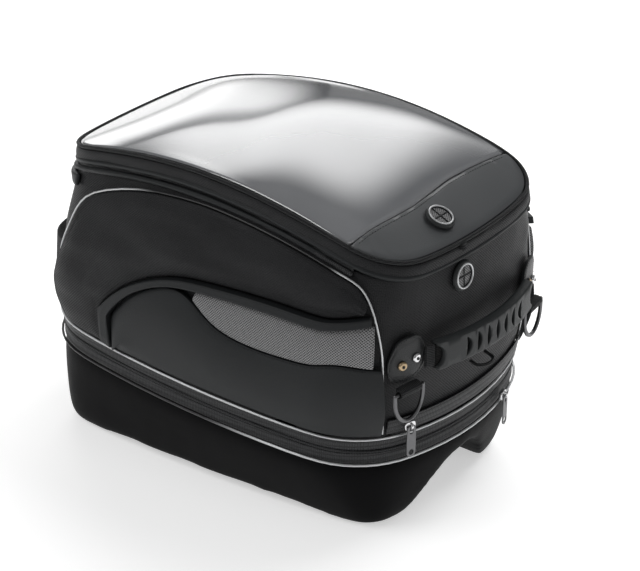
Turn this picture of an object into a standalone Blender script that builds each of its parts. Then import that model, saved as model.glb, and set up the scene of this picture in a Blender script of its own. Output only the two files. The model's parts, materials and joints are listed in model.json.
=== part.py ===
"""Motorcycle tank bag on a zip-off moulded saddle base.

Frame: +X is the front (handle end), +Z up, origin on the floor under the middle of the bounding box.
Every sewn, moulded or metal piece is its own object; moving pieces hang from empties on their joint axes.
"""
import math

import bmesh
import bpy
import numpy as np
from mathutils import Matrix, Vector

# ---------------------------------------------------------------- driving dimensions (metres)
GAP = 0.0003                # clearance between pieces that touch
SOFT_GAP = 0.0008           # clearance between stacked fabric layers
QUADRANT_STEPS = 9          # facets in a quarter of each outline
RIM_DROP = 0.015            # height of the lid's fabric rim
BAND_HEIGHT = 0.0240        # height of the zip band between the two pipings
PIPING_Z = 0.1028           # upper piping height at x = 0
PIPING_SLOPE = -0.045       # the zip band drops towards the front
LID_Z = 0.252               # lid seam height at its ends
LID_SLOPE = -0.0073         # the lid falls slightly towards the front
LID_ARCH = 0.0357           # rise of the lid's lengthwise arch
LID_CROWN = 0.012           # rise of the lid top across its width
ZIP_LINE = 0.970            # share of the wall height where the main zip starts
HINGE_TURN = 0.62           # quadrants from the front centre where the zip stops and the lid hinge begins
ZIP_FIRST = 0.69            # quadrants from the front centre where the zip tapes begin
REACH = 0.2205              # front of the handle and back of the grab strap

# outlines: half length, half width, corner radius, end radius, side radius, taper, centre x
PIPING_RING = np.array([0.196, 0.137, 0.075, 0.235, 0.95, 0.0, 0.002])
LID_RING = np.array([0.187, 0.110, 0.0495, 0.51, 2.5, 0.083, 0.0106])
FOOT_RING = np.array([0.178, 0.116, 0.036, 0.60, 1.5, -0.075, 0.001])
WALL_BULGE = np.array([0.002, 0.011, 0.004, 0.004, 0.004, 0.0, 0.001])
OFFSET_TERMS = np.array([1.0, 1.0, 1.0, 1.0, 1.0, 0.0, 0.0])

ARCH_HALF_WIDTH = 0.062     # half width of the tunnel under the saddle, at the floor
ARCH_HEIGHT = 0.048
ARCH_FLARE = 1.45           # how squarely the tunnel's flanks stand up
ARCH_TILT = 0.02            # the tunnel's ceiling climbs towards the rear
ARCH_STATIONS = [-0.24 + 0.08 * i for i in range(7)]
SIDE_ARCH_REAR = -0.125     # the saddle's long edges stand clear between its four feet
SIDE_ARCH_FRONT = 0.140
SIDE_ARCH_HEIGHT = 0.006
LEG_ROUND = 0.007           # rounding of the feet's lower edges
LEG_FLOOR = 0.0105          # thickness of the feet under the saddle's hollow
FOOT_WALL = 0.008           # the saddle's moulded wall at the feet, at its top edge and over the tunnel
TOP_WALL = 0.012
TUNNEL_WALL = 0.006
LINING_THICKNESS = 0.0018   # rubber lining of the tunnel
SADDLE_BOARD_INSET = 0.016
SADDLE_BOARD_RISE = 0.0024  # height of the saddle's top board above the lower piping
SADDLE_BOARD = 0.0030
TAPE_THICKNESS = 0.0018
COIL_SHARE = 0.42           # the zip-off zip runs this far up its band
COIL_RISE = 0.0016          # the coil's centre and the upper tape's edge above the lower tape
UPPER_TAPE_RISE = 0.0032
COIL_RADIUS = 0.0013

WALL_CLOTH = 0.0025         # thickness of the bag's wall
FLOOR_RISE = 0.003          # height of the bag's floor above the upper piping
LINING_OUTSIDE = -0.0040    # the lining's two faces, measured from the bag's skin
LINING_INSIDE = -0.0052
LINING_TOP = 0.970
FLOOR_BOARD_INSET = 0.014
FLOOR_BOARD = 0.0025
FLOOR_LINING = 0.0015
TAPE_OUT = 0.0020           # outer face of the zip tapes that lie on the skin

POD_FLOOR = 0.035           # side pods: edges as shares of the wall's height
POD_SHOULDER = 0.45
POD_CREST = 0.925
POD_REAR_RUN = 0.44         # share of the pod's length over which its rear end rounds off
POD_FRONT = 0.78            # share where its crest starts to fall at the front
POD_FALL = 0.40             # how far it falls there
POD_LENGTH_M = 0.34         # length and height that one whole share stands for
POD_HEIGHT_M = 0.15
WELT_REAR = 0.222           # share of the pod's length where the pocket's welt rises
WELT_FRONT = 0.955
WELT_LOW = 0.040
WELT_CORNER = 0.436         # rise of its rear corner, and the share over which it rises
WELT_CORNER_RUN = 0.20
WELT_SLOPE = 0.40
WELT_HALF_M = 0.0036        # half width of the welt
SEAM_GAP_M = 0.0012         # seam between the pieces of a pod
MESH_REAR = 0.445           # share where the mesh insert starts
POD_GAP = 0.0014            # clearance between the pods and the wall

PIPING_RADIUS = 0.0017
STRAP_WIDTH = 0.025
STRAP_THICKNESS = 0.0022
GRIP_HALF_LENGTH = 0.0675
GRIP_HEIGHT = 0.0245
GRIP_THICKNESS = 0.009
GRIP_BOW = 0.011            # how far the grip's middle stands out past its ends
GRIP_Z = 0.169
HANDLE_STRAP = 0.0195       # width of the webbing inside the grip
GRIP_SLOTS = 7
RING_WIDTH = 0.036
RING_WIRE = 0.0019
RING_Y = 0.0905
RING_TILT = 8.0             # degrees that the rings turn away from the front
RING_AXIS_Z = 0.1445
RING_X = 0.1965
HANDLE_AXIS_X = 0.1965
STRAP_END_X = 0.2015        # where the handle's webbing meets the wall
PATCH_FIRST = 0.218         # anchor patch, in quadrants from the front centre
PATCH_LAST = 0.395
SEAM_X = 0.150              # seam between the map window and the vinyl front
SEAM_WAVE = 0.0035
PORT_SHIFT = 0.021          # both cable ports sit this far to the right of the middle
PORT_RADIUS = 0.0133
PORT_OPENING = 0.0098
PORT_HEIGHT = 0.0032
SLIT_WIDTH = 0.0007
PATCH_OUT = 0.0036          # outer face of the anchor patches above the skin
PATCH_MIDDLE = 0.50         # height share of the patches' middle
STRAP_BACK = 0.0066         # webbing inside the grip, measured in from the grip's face
STRAP_FRONT = 0.0038
SLOT_SPREAD = 0.040         # the outermost finger slots stand this far from the middle
SLOT_HALF_HEIGHT = 0.0096
SLOT_HALF_WIDTH = 0.0025
SLOT_CHANGE = 0.0006        # the outer slots are this much shorter and wider
SLOT_CURL = 0.0020
TAB_WIDTH = 0.024           # webbing tab that holds a D-ring
TAB_THICKNESS = 0.0020
LOOP_HALF_WIDTH = 0.0105    # cord loop under the handle
LOOP_RADIUS = 0.0015
GRAB_HEIGHT = 0.24          # height share of the grab strap at the rear

SLIDER_LENGTH = 0.0105      # zip sliders and their pulls
SLIDER_HEIGHT = 0.0078
SLIDER_DEPTH = 0.0030
SLIDER_CORNER = 0.0025
PULL_BAR = 0.0010           # thickness of a pull
PULL_HALF_WIDTH = 0.0046
PULL_LENGTH = 0.0285

RIM_OUT = 0.0006            # the lid rim's outer and inner faces, measured from the lid's outline
RIM_IN = -0.0016
RIM_TOP = 0.003
WINDOW_INSET = 0.0025
WINDOW_SHEET = 0.0012
VINYL_SHEET = 0.0016
MAP_INSET = 0.0032
MAP_DROP = 0.0034           # depth of the map sheet and of the lid's lining under the window
LID_LINING_DROP = 0.0066
LID_LINING = 0.0014
LID_PORT_X = 0.1736

# ---------------------------------------------------------------- scene and materials
for old in list(bpy.data.objects):
    bpy.data.objects.remove(old, do_unlink=True)

PARTS = bpy.data.collections.new("tank_bag")
CUTTERS = bpy.data.collections.new("cutters")
GUIDES = bpy.data.collections.new("joint_axes")
for group in (PARTS, CUTTERS, GUIDES):
    bpy.context.scene.collection.children.link(group)


def make_material(name, colour, roughness, metallic=0.0, alpha=1.0):
    material = bpy.data.materials.new(name)
    material.use_nodes = True
    shader = material.node_tree.nodes["Principled BSDF"]
    shader.inputs["Base Color"].default_value = (*colour, 1.0)
    shader.inputs["Roughness"].default_value = roughness
    shader.inputs["Metallic"].default_value = metallic
    shader.inputs["Alpha"].default_value = alpha
    return material


MATERIALS = {
    "shell_fabric": make_material("shell_fabric", (0.022, 0.022, 0.024), 0.85),
    "smooth_fabric": make_material("smooth_fabric", (0.018, 0.019, 0.021), 0.6),
    "lining_fabric": make_material("lining_fabric", (0.20, 0.20, 0.21), 0.8),
    "webbing": make_material("webbing", (0.015, 0.015, 0.016), 0.8),
    "reflective": make_material("reflective", (0.55, 0.56, 0.57), 0.35, 0.3),
    "mesh_fabric": make_material("mesh_fabric", (0.22, 0.22, 0.22), 0.7),
    "vinyl": make_material("vinyl", (0.045, 0.048, 0.052), 0.5),
    "clear_sheet": make_material("clear_sheet", (0.75, 0.77, 0.80), 0.12, 0.0, 0.35),
    "map_sheet": make_material("map_sheet", (0.50, 0.50, 0.51), 0.6),
    "moulded_base": make_material("moulded_base", (0.012, 0.012, 0.013), 0.55),
    "board": make_material("board", (0.05, 0.05, 0.05), 0.7),
    "rubber": make_material("rubber", (0.04, 0.042, 0.043), 0.6),
    "leather": make_material("leather", (0.035, 0.037, 0.040), 0.55),
    "chrome": make_material("chrome", (0.75, 0.75, 0.76), 0.15, 1.0),
    "brass": make_material("brass", (0.55, 0.44, 0.28), 0.3, 1.0),
    "dark_metal": make_material("dark_metal", (0.10, 0.10, 0.105), 0.3, 0.9),
}


def link(obj, material, group=PARTS):
    group.objects.link(obj)
    if material:
        obj.data.materials.append(MATERIALS[material])
    return obj


def mesh_object(name, verts, faces, material, group=PARTS):
    """A closed mesh whose faces are turned outwards."""
    mesh = bpy.data.meshes.new(name)
    mesh.from_pydata([tuple(v) for v in verts], [], faces)
    work = bmesh.new()
    work.from_mesh(mesh)
    bmesh.ops.recalc_face_normals(work, faces=work.faces)
    work.to_mesh(mesh)
    work.free()
    return link(bpy.data.objects.new(name, mesh), material, group)


def soften(obj, angle=35.0):
    obj.data.shade_smooth()
    obj.data.set_sharp_from_angle(angle=math.radians(angle))
    return obj


def hide_cutter(obj):
    obj.hide_render = True
    obj.display_type = "WIRE"
    return obj


def cut(target, cutter, operation="DIFFERENCE"):
    modifier = target.modifiers.new(cutter.name, "BOOLEAN")
    modifier.operation = operation
    modifier.solver = "EXACT"
    modifier.object = cutter
    hide_cutter(cutter)
    return target


def make_axis(name, position, rotation=(0.0, 0.0, 0.0)):
    """An empty on a joint's axis."""
    empty = bpy.data.objects.new(name, None)
    empty.location = position
    empty.rotation_euler = rotation
    empty.empty_display_size = 0.01
    GUIDES.objects.link(empty)
    return empty


def hang(obj, axis):
    """Parent a piece to the empty on its joint's axis, leaving it where it is."""
    bpy.context.view_layer.update()
    obj.parent = axis
    obj.matrix_parent_inverse = axis.matrix_world.inverted()
    return obj


def to_mesh(curve_object):
    """Replace a curve object by a welded mesh object of the same shape."""
    bpy.context.view_layer.update()
    graph = bpy.context.evaluated_depsgraph_get()
    mesh = bpy.data.meshes.new_from_object(curve_object.evaluated_get(graph))
    work = bmesh.new()
    work.from_mesh(mesh)
    bmesh.ops.remove_doubles(work, verts=work.verts, dist=1e-6)
    bmesh.ops.recalc_face_normals(work, faces=work.faces)
    work.to_mesh(mesh)
    work.free()
    name = curve_object.name
    group = curve_object.users_collection[0]
    matrix = curve_object.matrix_world.copy()
    materials = list(curve_object.data.materials)
    bpy.data.objects.remove(curve_object, do_unlink=True)
    obj = bpy.data.objects.new(name, mesh)
    group.objects.link(obj)
    obj.matrix_world = matrix
    obj.data.materials.clear()
    for material in materials:
        obj.data.materials.append(material)
    return obj


# ---------------------------------------------------------------- outlines and the bag's skin
def offset(ring, distance):
    """The ring's parallel outline, a distance outside it."""
    return ring + OFFSET_TERMS * distance


def quarter_point(ring, share):
    """Point and normal on the front-left quarter: end arc, corner arc, side arc."""
    half_length, half_width, corner, end_radius, side_radius = ring[:5]
    end_centre = np.array([half_length - end_radius, 0.0])
    side_centre = np.array([0.0, half_width - side_radius])
    to_end, to_side = end_radius - corner, side_radius - corner
    line = side_centre - end_centre
    length = np.hypot(*line)
    along = (to_end**2 - to_side**2 + length**2) / (2 * length)
    across = math.sqrt(max(to_end**2 - along**2, 0.0))
    unit = line / length
    normal = np.array([-unit[1], unit[0]])
    centre = end_centre + unit * along + normal * across
    if min(centre) < 0:
        centre = end_centre + unit * along - normal * across
    first = math.atan2(centre[1], centre[0] - end_centre[0])
    second = math.atan2(centre[1] - side_centre[1], centre[0])
    if share < 0.25:
        angle, middle, radius = first * share / 0.25, end_centre, end_radius
    elif share < 0.75:
        angle, middle, radius = first + (second - first) * (share - 0.25) / 0.5, centre, corner
    else:
        angle = second + (math.pi / 2 - second) * (share - 0.75) / 0.25
        middle, radius = side_centre, side_radius
    direction = np.array([math.cos(angle), math.sin(angle)])
    return middle + radius * direction, direction


def ring_point(ring, turn):
    """Point and outward normal; turn counts quadrants from +X through +Y, -X and -Y."""
    turn %= 4
    quadrant = int(turn)
    share = turn - quadrant
    if quadrant in (1, 3):
        share = 1 - share
    point, normal = quarter_point(ring, share)
    sign = np.array([-1 if quadrant in (1, 2) else 1, -1 if quadrant in (2, 3) else 1])
    point, normal = point * sign, normal * sign
    point[1] *= 1 + ring[5] * point[0] / ring[0]
    return point + np.array([ring[6], 0.0]), normal


def all_turns():
    return [i / QUADRANT_STEPS for i in range(4 * QUADRANT_STEPS)]


def piping_z(x):
    return PIPING_Z + PIPING_SLOPE * x


def lower_z(x):
    return piping_z(x) - BAND_HEIGHT


def lid_z(x):
    share = (x - LID_RING[6]) / LID_RING[0]
    return LID_Z + LID_SLOPE * (x - LID_RING[6]) + LID_ARCH * (1 - share**2)


def wall_ring(height):
    lid = offset(LID_RING, -0.002)
    return PIPING_RING * (1 - height) + lid * height + WALL_BULGE * math.sin(math.pi * height)


def wall_point(turn, height, out=0.0):
    """Point on the bag's wall: height runs from 0 at the upper piping to 1 under the lid's rim."""
    (x, y), normal = ring_point(wall_ring(height), turn)
    z = piping_z(x) * (1 - height) + (lid_z(x) - RIM_DROP) * height
    return np.array([x + out * normal[0], y + out * normal[1], z])


def level_ring(ring, z_of_x, distance=0.0):
    points = []
    for turn in all_turns():
        (x, y), normal = ring_point(ring, turn)
        x, y = x + distance * normal[0], y + distance * normal[1]
        points.append((x, y, z_of_x(x)))
    return points


def smooth_step(value, low, high):
    share = min(max((value - low) / (high - low), 0.0), 1.0)
    return share * share * (3 - 2 * share)


# ---------------------------------------------------------------- solid builders
def loft(name, rings, material, closed=False, group=PARTS):
    """Skin a stack of equal rings; capped at both ends, or joined end to end when closed."""
    count = len(rings[0])
    verts = [point for ring in rings for point in ring]
    faces = []
    steps = len(rings) if closed else len(rings) - 1
    for level in range(steps):
        low, high = level * count, ((level + 1) % len(rings)) * count
        for i in range(count):
            j = (i + 1) % count
            faces.append((low + i, low + j, high + j, high + i))
    if not closed:
        faces.append(tuple(range(count)))
        faces.append(tuple(range((len(rings) - 1) * count, len(rings) * count)))
    return soften(mesh_object(name, verts, faces, material, group))


def slab(name, outer, inner, material, group=PARTS):
    """Closed solid between two equal grids of points."""
    rows, columns = len(outer), len(outer[0])
    verts = [p for row in outer for p in row] + [p for row in inner for p in row]
    size = rows * columns
    faces = []
    for r in range(rows - 1):
        for c in range(columns - 1):
            a = r * columns + c
            quad = (a, a + 1, a + columns + 1, a + columns)
            faces.append(quad)
            faces.append(tuple(size + v for v in reversed(quad)))
    rim = [(0, c) for c in range(columns)]
    rim += [(r, columns - 1) for r in range(1, rows)]
    rim += [(rows - 1, c) for c in range(columns - 2, -1, -1)]
    rim += [(r, 0) for r in range(rows - 2, 0, -1)]
    for (r0, c0), (r1, c1) in zip(rim, rim[1:] + rim[:1]):
        a, b = r0 * columns + c0, r1 * columns + c1
        faces.append((a, size + a, size + b, b))
    return soften(mesh_object(name, verts, faces, material, group))


def wall_patch(name, turn_at, low_path, high_path, out_low, out_high, rows, material):
    """Panel lying on the wall between two paths of (share of its length, height).

    turn_at gives the place round the bag from (share, height). out_low and out_high are distances
    from the skin; out_high takes (share along the paths, share up the panel).
    """
    outer, inner = [], []
    last = len(low_path) - 1
    for r in range(rows + 1):
        up = r / rows
        outer_row, inner_row = [], []
        for i, (low, high) in enumerate(zip(low_path, high_path)):
            share = low[0] + (high[0] - low[0]) * up
            height = low[1] + (high[1] - low[1]) * up
            turn = turn_at(share, height)
            outer_row.append(wall_point(turn, height, out_high(i / last, up)))
            inner_row.append(wall_point(turn, height, out_low))
        outer.append(outer_row)
        inner.append(inner_row)
    return slab(name, outer, inner, material)


def wall_band(name, columns, first, last, low, high, out_low, out_high, rows, material):
    """Even panel on the wall from one turn to another, between two heights."""
    def turn_at(share, height):
        return first + (last - first) * share

    low_path = [(share, low) for share in even_shares(columns)]
    high_path = [(share, high) for share in even_shares(columns)]
    return wall_patch(name, turn_at, low_path, high_path, out_low, out_high, rows, material)


def even_shares(count, first=0.0, last=1.0):
    return [first + (last - first) * i / count for i in range(count + 1)]


def tube(name, points, radius, material, cyclic=False, sides_step=1, group=PARTS):
    """Round wire or piping through the points, as a curve with filled caps."""
    curve = bpy.data.curves.new(name, "CURVE")
    curve.dimensions = "3D"
    curve.bevel_depth = radius
    curve.bevel_resolution = sides_step
    curve.use_fill_caps = True
    spline = curve.splines.new("POLY")
    spline.points.add(len(points) - 1)
    for target, point in zip(spline.points, points):
        target.co = (*point, 1.0)
    spline.use_cyclic_u = cyclic
    return link(bpy.data.objects.new(name, curve), material, group)


def flat_shape(name, outlines, thickness, material, matrix=None, group=PARTS):
    """Flat outline with holes, given thickness, as a filled 2D curve made into a mesh."""
    curve = bpy.data.curves.new(name, "CURVE")
    curve.dimensions = "2D"
    curve.fill_mode = "BOTH"
    curve.extrude = thickness / 2
    for outline in outlines:
        spline = curve.splines.new("POLY")
        spline.points.add(len(outline) - 1)
        for target, (x, y) in zip(spline.points, outline):
            target.co = (x, y, 0.0, 1.0)
        spline.use_cyclic_u = True
    obj = link(bpy.data.objects.new(name, curve), material, group)
    obj.matrix_world = matrix or Matrix.Identity(4)
    return to_mesh(obj)


def turned(name, profile, material, matrix, steps=18):
    """Profile of (radius, height) points turned about local Z; closed when it ends off the axis."""
    mesh = bpy.data.meshes.new(name)
    closed = profile[0][0] > 0
    count = len(profile)
    edges = [(i, i + 1) for i in range(count - 1)]
    if closed:
        edges.append((count - 1, 0))
    mesh.from_pydata([(r, 0.0, h) for r, h in profile], edges, [])
    obj = link(bpy.data.objects.new(name, mesh), material)
    screw = obj.modifiers.new("turn", "SCREW")
    screw.axis = "Z"
    screw.steps = steps
    screw.render_steps = steps
    screw.use_merge_vertices = True
    screw.merge_threshold = 0.00001
    screw.use_normal_calculate = True
    screw.use_smooth_shade = True
    obj.matrix_world = matrix
    return obj


def arc_points(centre, radius, start, end, count, stretch=1.0):
    """Points of an arc in a plane, angles in degrees; stretch scales it along its second axis."""
    points = []
    for i in range(count):
        angle = math.radians(start + (end - start) * i / (count - 1))
        x = centre[0] + radius * math.cos(angle)
        points.append((x, centre[1] + stretch * radius * math.sin(angle)))
    return points


def facing(position, outward, up=(0.0, 0.0, 1.0)):
    """Matrix whose local Z points outward and whose local Y points up."""
    z_axis = Vector(outward).normalized()
    x_axis = Vector(up).cross(z_axis).normalized()
    y_axis = z_axis.cross(x_axis)
    matrix = Matrix((x_axis, y_axis, z_axis)).transposed().to_4x4()
    matrix.translation = Vector(position)
    return matrix


def wall_frame(turn, height, out):
    """Frame on the wall: local Z outward, local Y up the wall, local X level."""
    position = wall_point(turn, height, out)
    side = wall_point(turn + 0.01, height, out) - wall_point(turn - 0.01, height, out)
    rise = wall_point(turn, min(height + 0.02, 1.0), out) - wall_point(turn, height - 0.02, out)
    outward = np.cross(side, rise)
    return facing(position, outward, rise)


# ---------------------------------------------------------------- saddle base
def arch_section(grow, half_width=ARCH_HALF_WIDTH, steps=14):
    """Bell-shaped tunnel section as (y, z) points, from one foot to the other, grown outwards."""
    points = []
    for i in range(steps + 1):
        share = -1 + 2 * i / steps
        y = share * (half_width + grow)
        z = ARCH_HEIGHT * 0.5 * (1 + math.cos(math.pi * abs(share) ** ARCH_FLARE)) + grow
        points.append((y, z))
    return points


def arch_ring(x, grow):
    """The tunnel's section at one station, its flanks leaning up towards the rear."""
    lean = -ARCH_TILT * (x - FOOT_RING[0])
    return [(x, y, z + lean * smooth_step(z, 0.0, ARCH_HEIGHT)) for y, z in arch_section(grow)]


def arch_prism(name, grow, drop, group=CUTTERS):
    """Solid under the tunnel section, longer than the base."""
    rings = []
    for x in ARCH_STATIONS:
        section = arch_ring(x, grow)
        floor = [(x, section[-1][1], -drop), (x, section[0][1], -drop)]
        rings.append(section + floor)
    return loft(name, rings, None, group=group)


def side_arch_prism():
    """Solid under the long edges, from one side of the saddle to the other."""
    rings = []
    for y in (-0.2, 0.2):
        ring = [(SIDE_ARCH_FRONT, y, -0.01), (SIDE_ARCH_REAR, y, -0.01)]
        for share in even_shares(12):
            x = SIDE_ARCH_REAR + (SIDE_ARCH_FRONT - SIDE_ARCH_REAR) * share
            ring.append((x, y, SIDE_ARCH_HEIGHT * (1 - (2 * share - 1) ** 4) - 0.0001))
        rings.append(ring)
    return loft("side_arch_cutter", rings, None, group=CUTTERS)


def build_base():
    def blend_ring(share, inset, z_share):
        ring = offset(PIPING_RING * (1 - share) + FOOT_RING * share, -inset)
        points = []
        for turn in all_turns():
            (x, y), _ = ring_point(ring, turn)
            points.append((x, y, lower_z(x) * (1 - z_share) + 0.010 * z_share))
        return points

    def flat_ring(inset, z):
        return level_ring(FOOT_RING, lambda x: z, -inset)

    outer = [flat_ring(LEG_ROUND, 0.0), flat_ring(0.0045, 0.0025), flat_ring(0.0, 0.010)]
    outer += [blend_ring(0.55, 0.0, 0.62), blend_ring(0.12, 0.0, 0.22), blend_ring(0.0, 0.001, 0.04)]
    top = level_ring(offset(PIPING_RING, -0.006), lambda x: lower_z(x) + 0.002)
    shell = loft("saddle_base", outer + [top], "moulded_base")
    cut(shell, arch_prism("arch_cutter", 0.0, 0.01))
    cut(shell, side_arch_prism())

    inner = [level_ring(offset(FOOT_RING, -FOOT_WALL), lambda x: LEG_FLOOR)]
    inner.append(level_ring(offset(PIPING_RING, -TOP_WALL), lambda x: lower_z(x) + 0.010))
    core = loft("cavity_cutter", inner, None, group=CUTTERS)
    cut(core, arch_prism("arch_wall_cutter", TUNNEL_WALL, 0.02))
    cut(shell, core)

    stations = ARCH_STATIONS[1:-1]
    slab("saddle_lining", [arch_ring(x, -4 * GAP)[2:-2] for x in stations],
         [arch_ring(x, -4 * GAP - LINING_THICKNESS)[2:-2] for x in stations], "rubber")

    board = offset(PIPING_RING, -SADDLE_BOARD_INSET)
    rings = [level_ring(board, lambda x: lower_z(x) + SADDLE_BOARD_RISE)]
    rings.append(level_ring(board, lambda x: lower_z(x) + SADDLE_BOARD_RISE + SADDLE_BOARD))
    loft("base_board", rings, "board")

    line = level_ring(PIPING_RING, lower_z, PIPING_RADIUS + GAP)
    tube("lower_piping", line, PIPING_RADIUS, "reflective", True)
    band("base_zip_tape_lower", 0.0004, BAND_HEIGHT * COIL_SHARE)


def band(name, low, high):
    """Upright tape that follows the piping outline, between two heights above the lower piping."""
    def ring(distance, rise):
        return level_ring(PIPING_RING, lambda x: lower_z(x) + rise, distance)
    inside = -TAPE_THICKNESS
    rings = [ring(0.0, low), ring(0.0, high), ring(inside, high), ring(inside, low)]
    return loft(name, rings, "webbing", closed=True)


# ---------------------------------------------------------------- bag body
def shell_top(turn):
    """Height share of the shell's top edge: full under the hinge, lower where the main zip runs."""
    away = min(turn % 4, 4 - turn % 4)
    return ZIP_LINE + (0.995 - ZIP_LINE) * (1 - smooth_step(away, HINGE_TURN - 0.09, HINGE_TURN - 0.01))


def build_shell():
    levels = (0.2, 0.4, 0.6, 0.8, 0.9)

    def ring(share, out):
        return [wall_point(turn, share * shell_top(turn), out) for turn in all_turns()]

    def floor_ring(inset, rise):
        return level_ring(offset(PIPING_RING, -inset), lambda x: piping_z(x) + rise)

    outer = [ring(share, 0.0) for share in (0.0, *levels, 1.0)]
    inner = [ring(share, -WALL_CLOTH) for share in (1.0, *levels[::-1])]
    loft("bag_shell", outer + inner + [floor_ring(0.0035, FLOOR_RISE)], "shell_fabric")

    lining_z = FLOOR_RISE + SOFT_GAP
    rings = [floor_ring(0.0056, lining_z)]
    rings += [ring(share, LINING_OUTSIDE) for share in (*levels, LINING_TOP)]
    rings += [ring(share, LINING_INSIDE) for share in (LINING_TOP, *levels[::-1])]
    rings.append(floor_ring(0.0072, lining_z + FLOOR_LINING))
    loft("bag_lining", rings, "lining_fabric")
    board = offset(PIPING_RING, -FLOOR_BOARD_INSET)
    low = FLOOR_RISE + 2 * SOFT_GAP + FLOOR_LINING
    rings = [level_ring(board, lambda x: piping_z(x) + low)]
    rings.append(level_ring(board, lambda x: piping_z(x) + low + FLOOR_BOARD))
    loft("floor_board", rings, "board")

    line = level_ring(PIPING_RING, piping_z, PIPING_RADIUS + GAP)
    tube("upper_piping", line, PIPING_RADIUS, "reflective", True)
    coil_z = BAND_HEIGHT * COIL_SHARE
    band("base_zip_tape_upper", coil_z + UPPER_TAPE_RISE, BAND_HEIGHT - 0.0006)
    coil = level_ring(PIPING_RING, lambda x: lower_z(x) + coil_z + COIL_RISE, -0.0006)
    tube("base_zip_coil", coil, COIL_RADIUS, "webbing", True)

    def tape_face(share, up):
        return TAPE_OUT

    def flap_face(share, up):
        return 0.0018 + 0.0034 * up * math.sin(math.pi * share) ** 0.4

    wall_band("front_zip_tape", 12, -0.35, 0.35, 0.030, 0.125, SOFT_GAP, tape_face, 1, "webbing")
    wall_band("main_zip_tape_lower", 36, ZIP_FIRST, 4 - ZIP_FIRST, 0.9545, 0.967, SOFT_GAP,
              tape_face, 1, "webbing")
    wall_band("rear_rain_flap", 16, 1.40, 2.60, 0.865, 0.918, SOFT_GAP,
              flap_face, 2, "smooth_fabric")


# ---------------------------------------------------------------- side pods
SIDE_NAMES = {"right": -1, "left": 1}
WELT_SHARES = even_shares(16)
REAR_ANGLES = even_shares(8, 0.0, 90.0)
FRONT_ANGLES = (12.0, 22.0, 33.0, 43.0, 58.0, 74.0, 90.0)


def side_turn(side):
    """Place round the bag from the share of a pod's length and the height, for one side."""
    def turn_at(share, height):
        rear = -0.48 + 0.95 * (min(height, 0.6) - 0.33) ** 2
        front = 0.614 - 0.05 * height - 0.085 * height**2
        along = rear + (front - rear) * share
        return 3 + along if side < 0 else 1 - along
    return turn_at


def pod_rear(angle):
    """Rounded rear end of a pod, from its upright edge (0 degrees) to its crest (90 degrees)."""
    angle = math.radians(angle)
    share = POD_REAR_RUN * (1 - math.cos(angle) ** 0.91)
    return share, POD_SHOULDER + (POD_CREST - POD_SHOULDER) * math.sin(angle) ** 1.1


def pod_front(angle):
    """Upper front corner of a pod, from its level crest (0 degrees) to its upright edge (90 degrees)."""
    angle = math.radians(angle)
    share = POD_FRONT + (1 - POD_FRONT) * math.sin(angle) ** (2 / 3)
    return share, POD_CREST - POD_FALL * (1 - max(math.cos(angle), 0.0) ** 1.4)


def welt_height(place):
    """Height of the welt's centre line over a place along the pod."""
    left = 1 - min((place - WELT_REAR) / WELT_CORNER_RUN, 1.0)
    return WELT_LOW + WELT_CORNER * (1 - left**2) + WELT_SLOPE * (place - WELT_REAR)


def welt_point(share, grow):
    """Point a share of the way along the welt, moved sideways from its centre line by a distance."""
    place = WELT_REAR + (WELT_FRONT - WELT_REAR) * share
    run = 0.004 * POD_LENGTH_M
    rise = (welt_height(place + 0.002) - welt_height(place - 0.002)) * POD_HEIGHT_M
    length = math.hypot(run, rise)
    height = welt_height(place) + grow * run / length / POD_HEIGHT_M
    return place - grow * rise / length / POD_LENGTH_M, height


def mesh_line(share):
    """Lower edge of the mesh insert: hooked at its rear, rising towards the front."""
    hook = 0.150 * math.exp(-(share - MESH_REAR) / 0.035)
    return 0.365 + hook + 0.12 * smooth_step(share, 0.54, 0.85)


def pad_height(edge, crown):
    def height(share, up):
        return edge + crown * math.sin(math.pi * up) ** 0.6
    return height


def edge_line(path, turn_at, side, out, distance):
    """Line beside a path of (share, height) points, a distance outside the pod that the path bounds."""
    points = [wall_point(turn_at(*point), point[1], out) for point in path]
    raised = [wall_point(turn_at(*point), point[1], out + 0.001) for point in path]
    line = []
    for i, (point, above) in enumerate(zip(points, raised)):
        along = points[min(i + 1, len(points) - 1)] - points[max(i - 1, 0)]
        sideways = Vector(np.cross(above - point, along)).normalized() * -side * distance
        line.append(Vector(point) + sideways)
    return line


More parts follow.
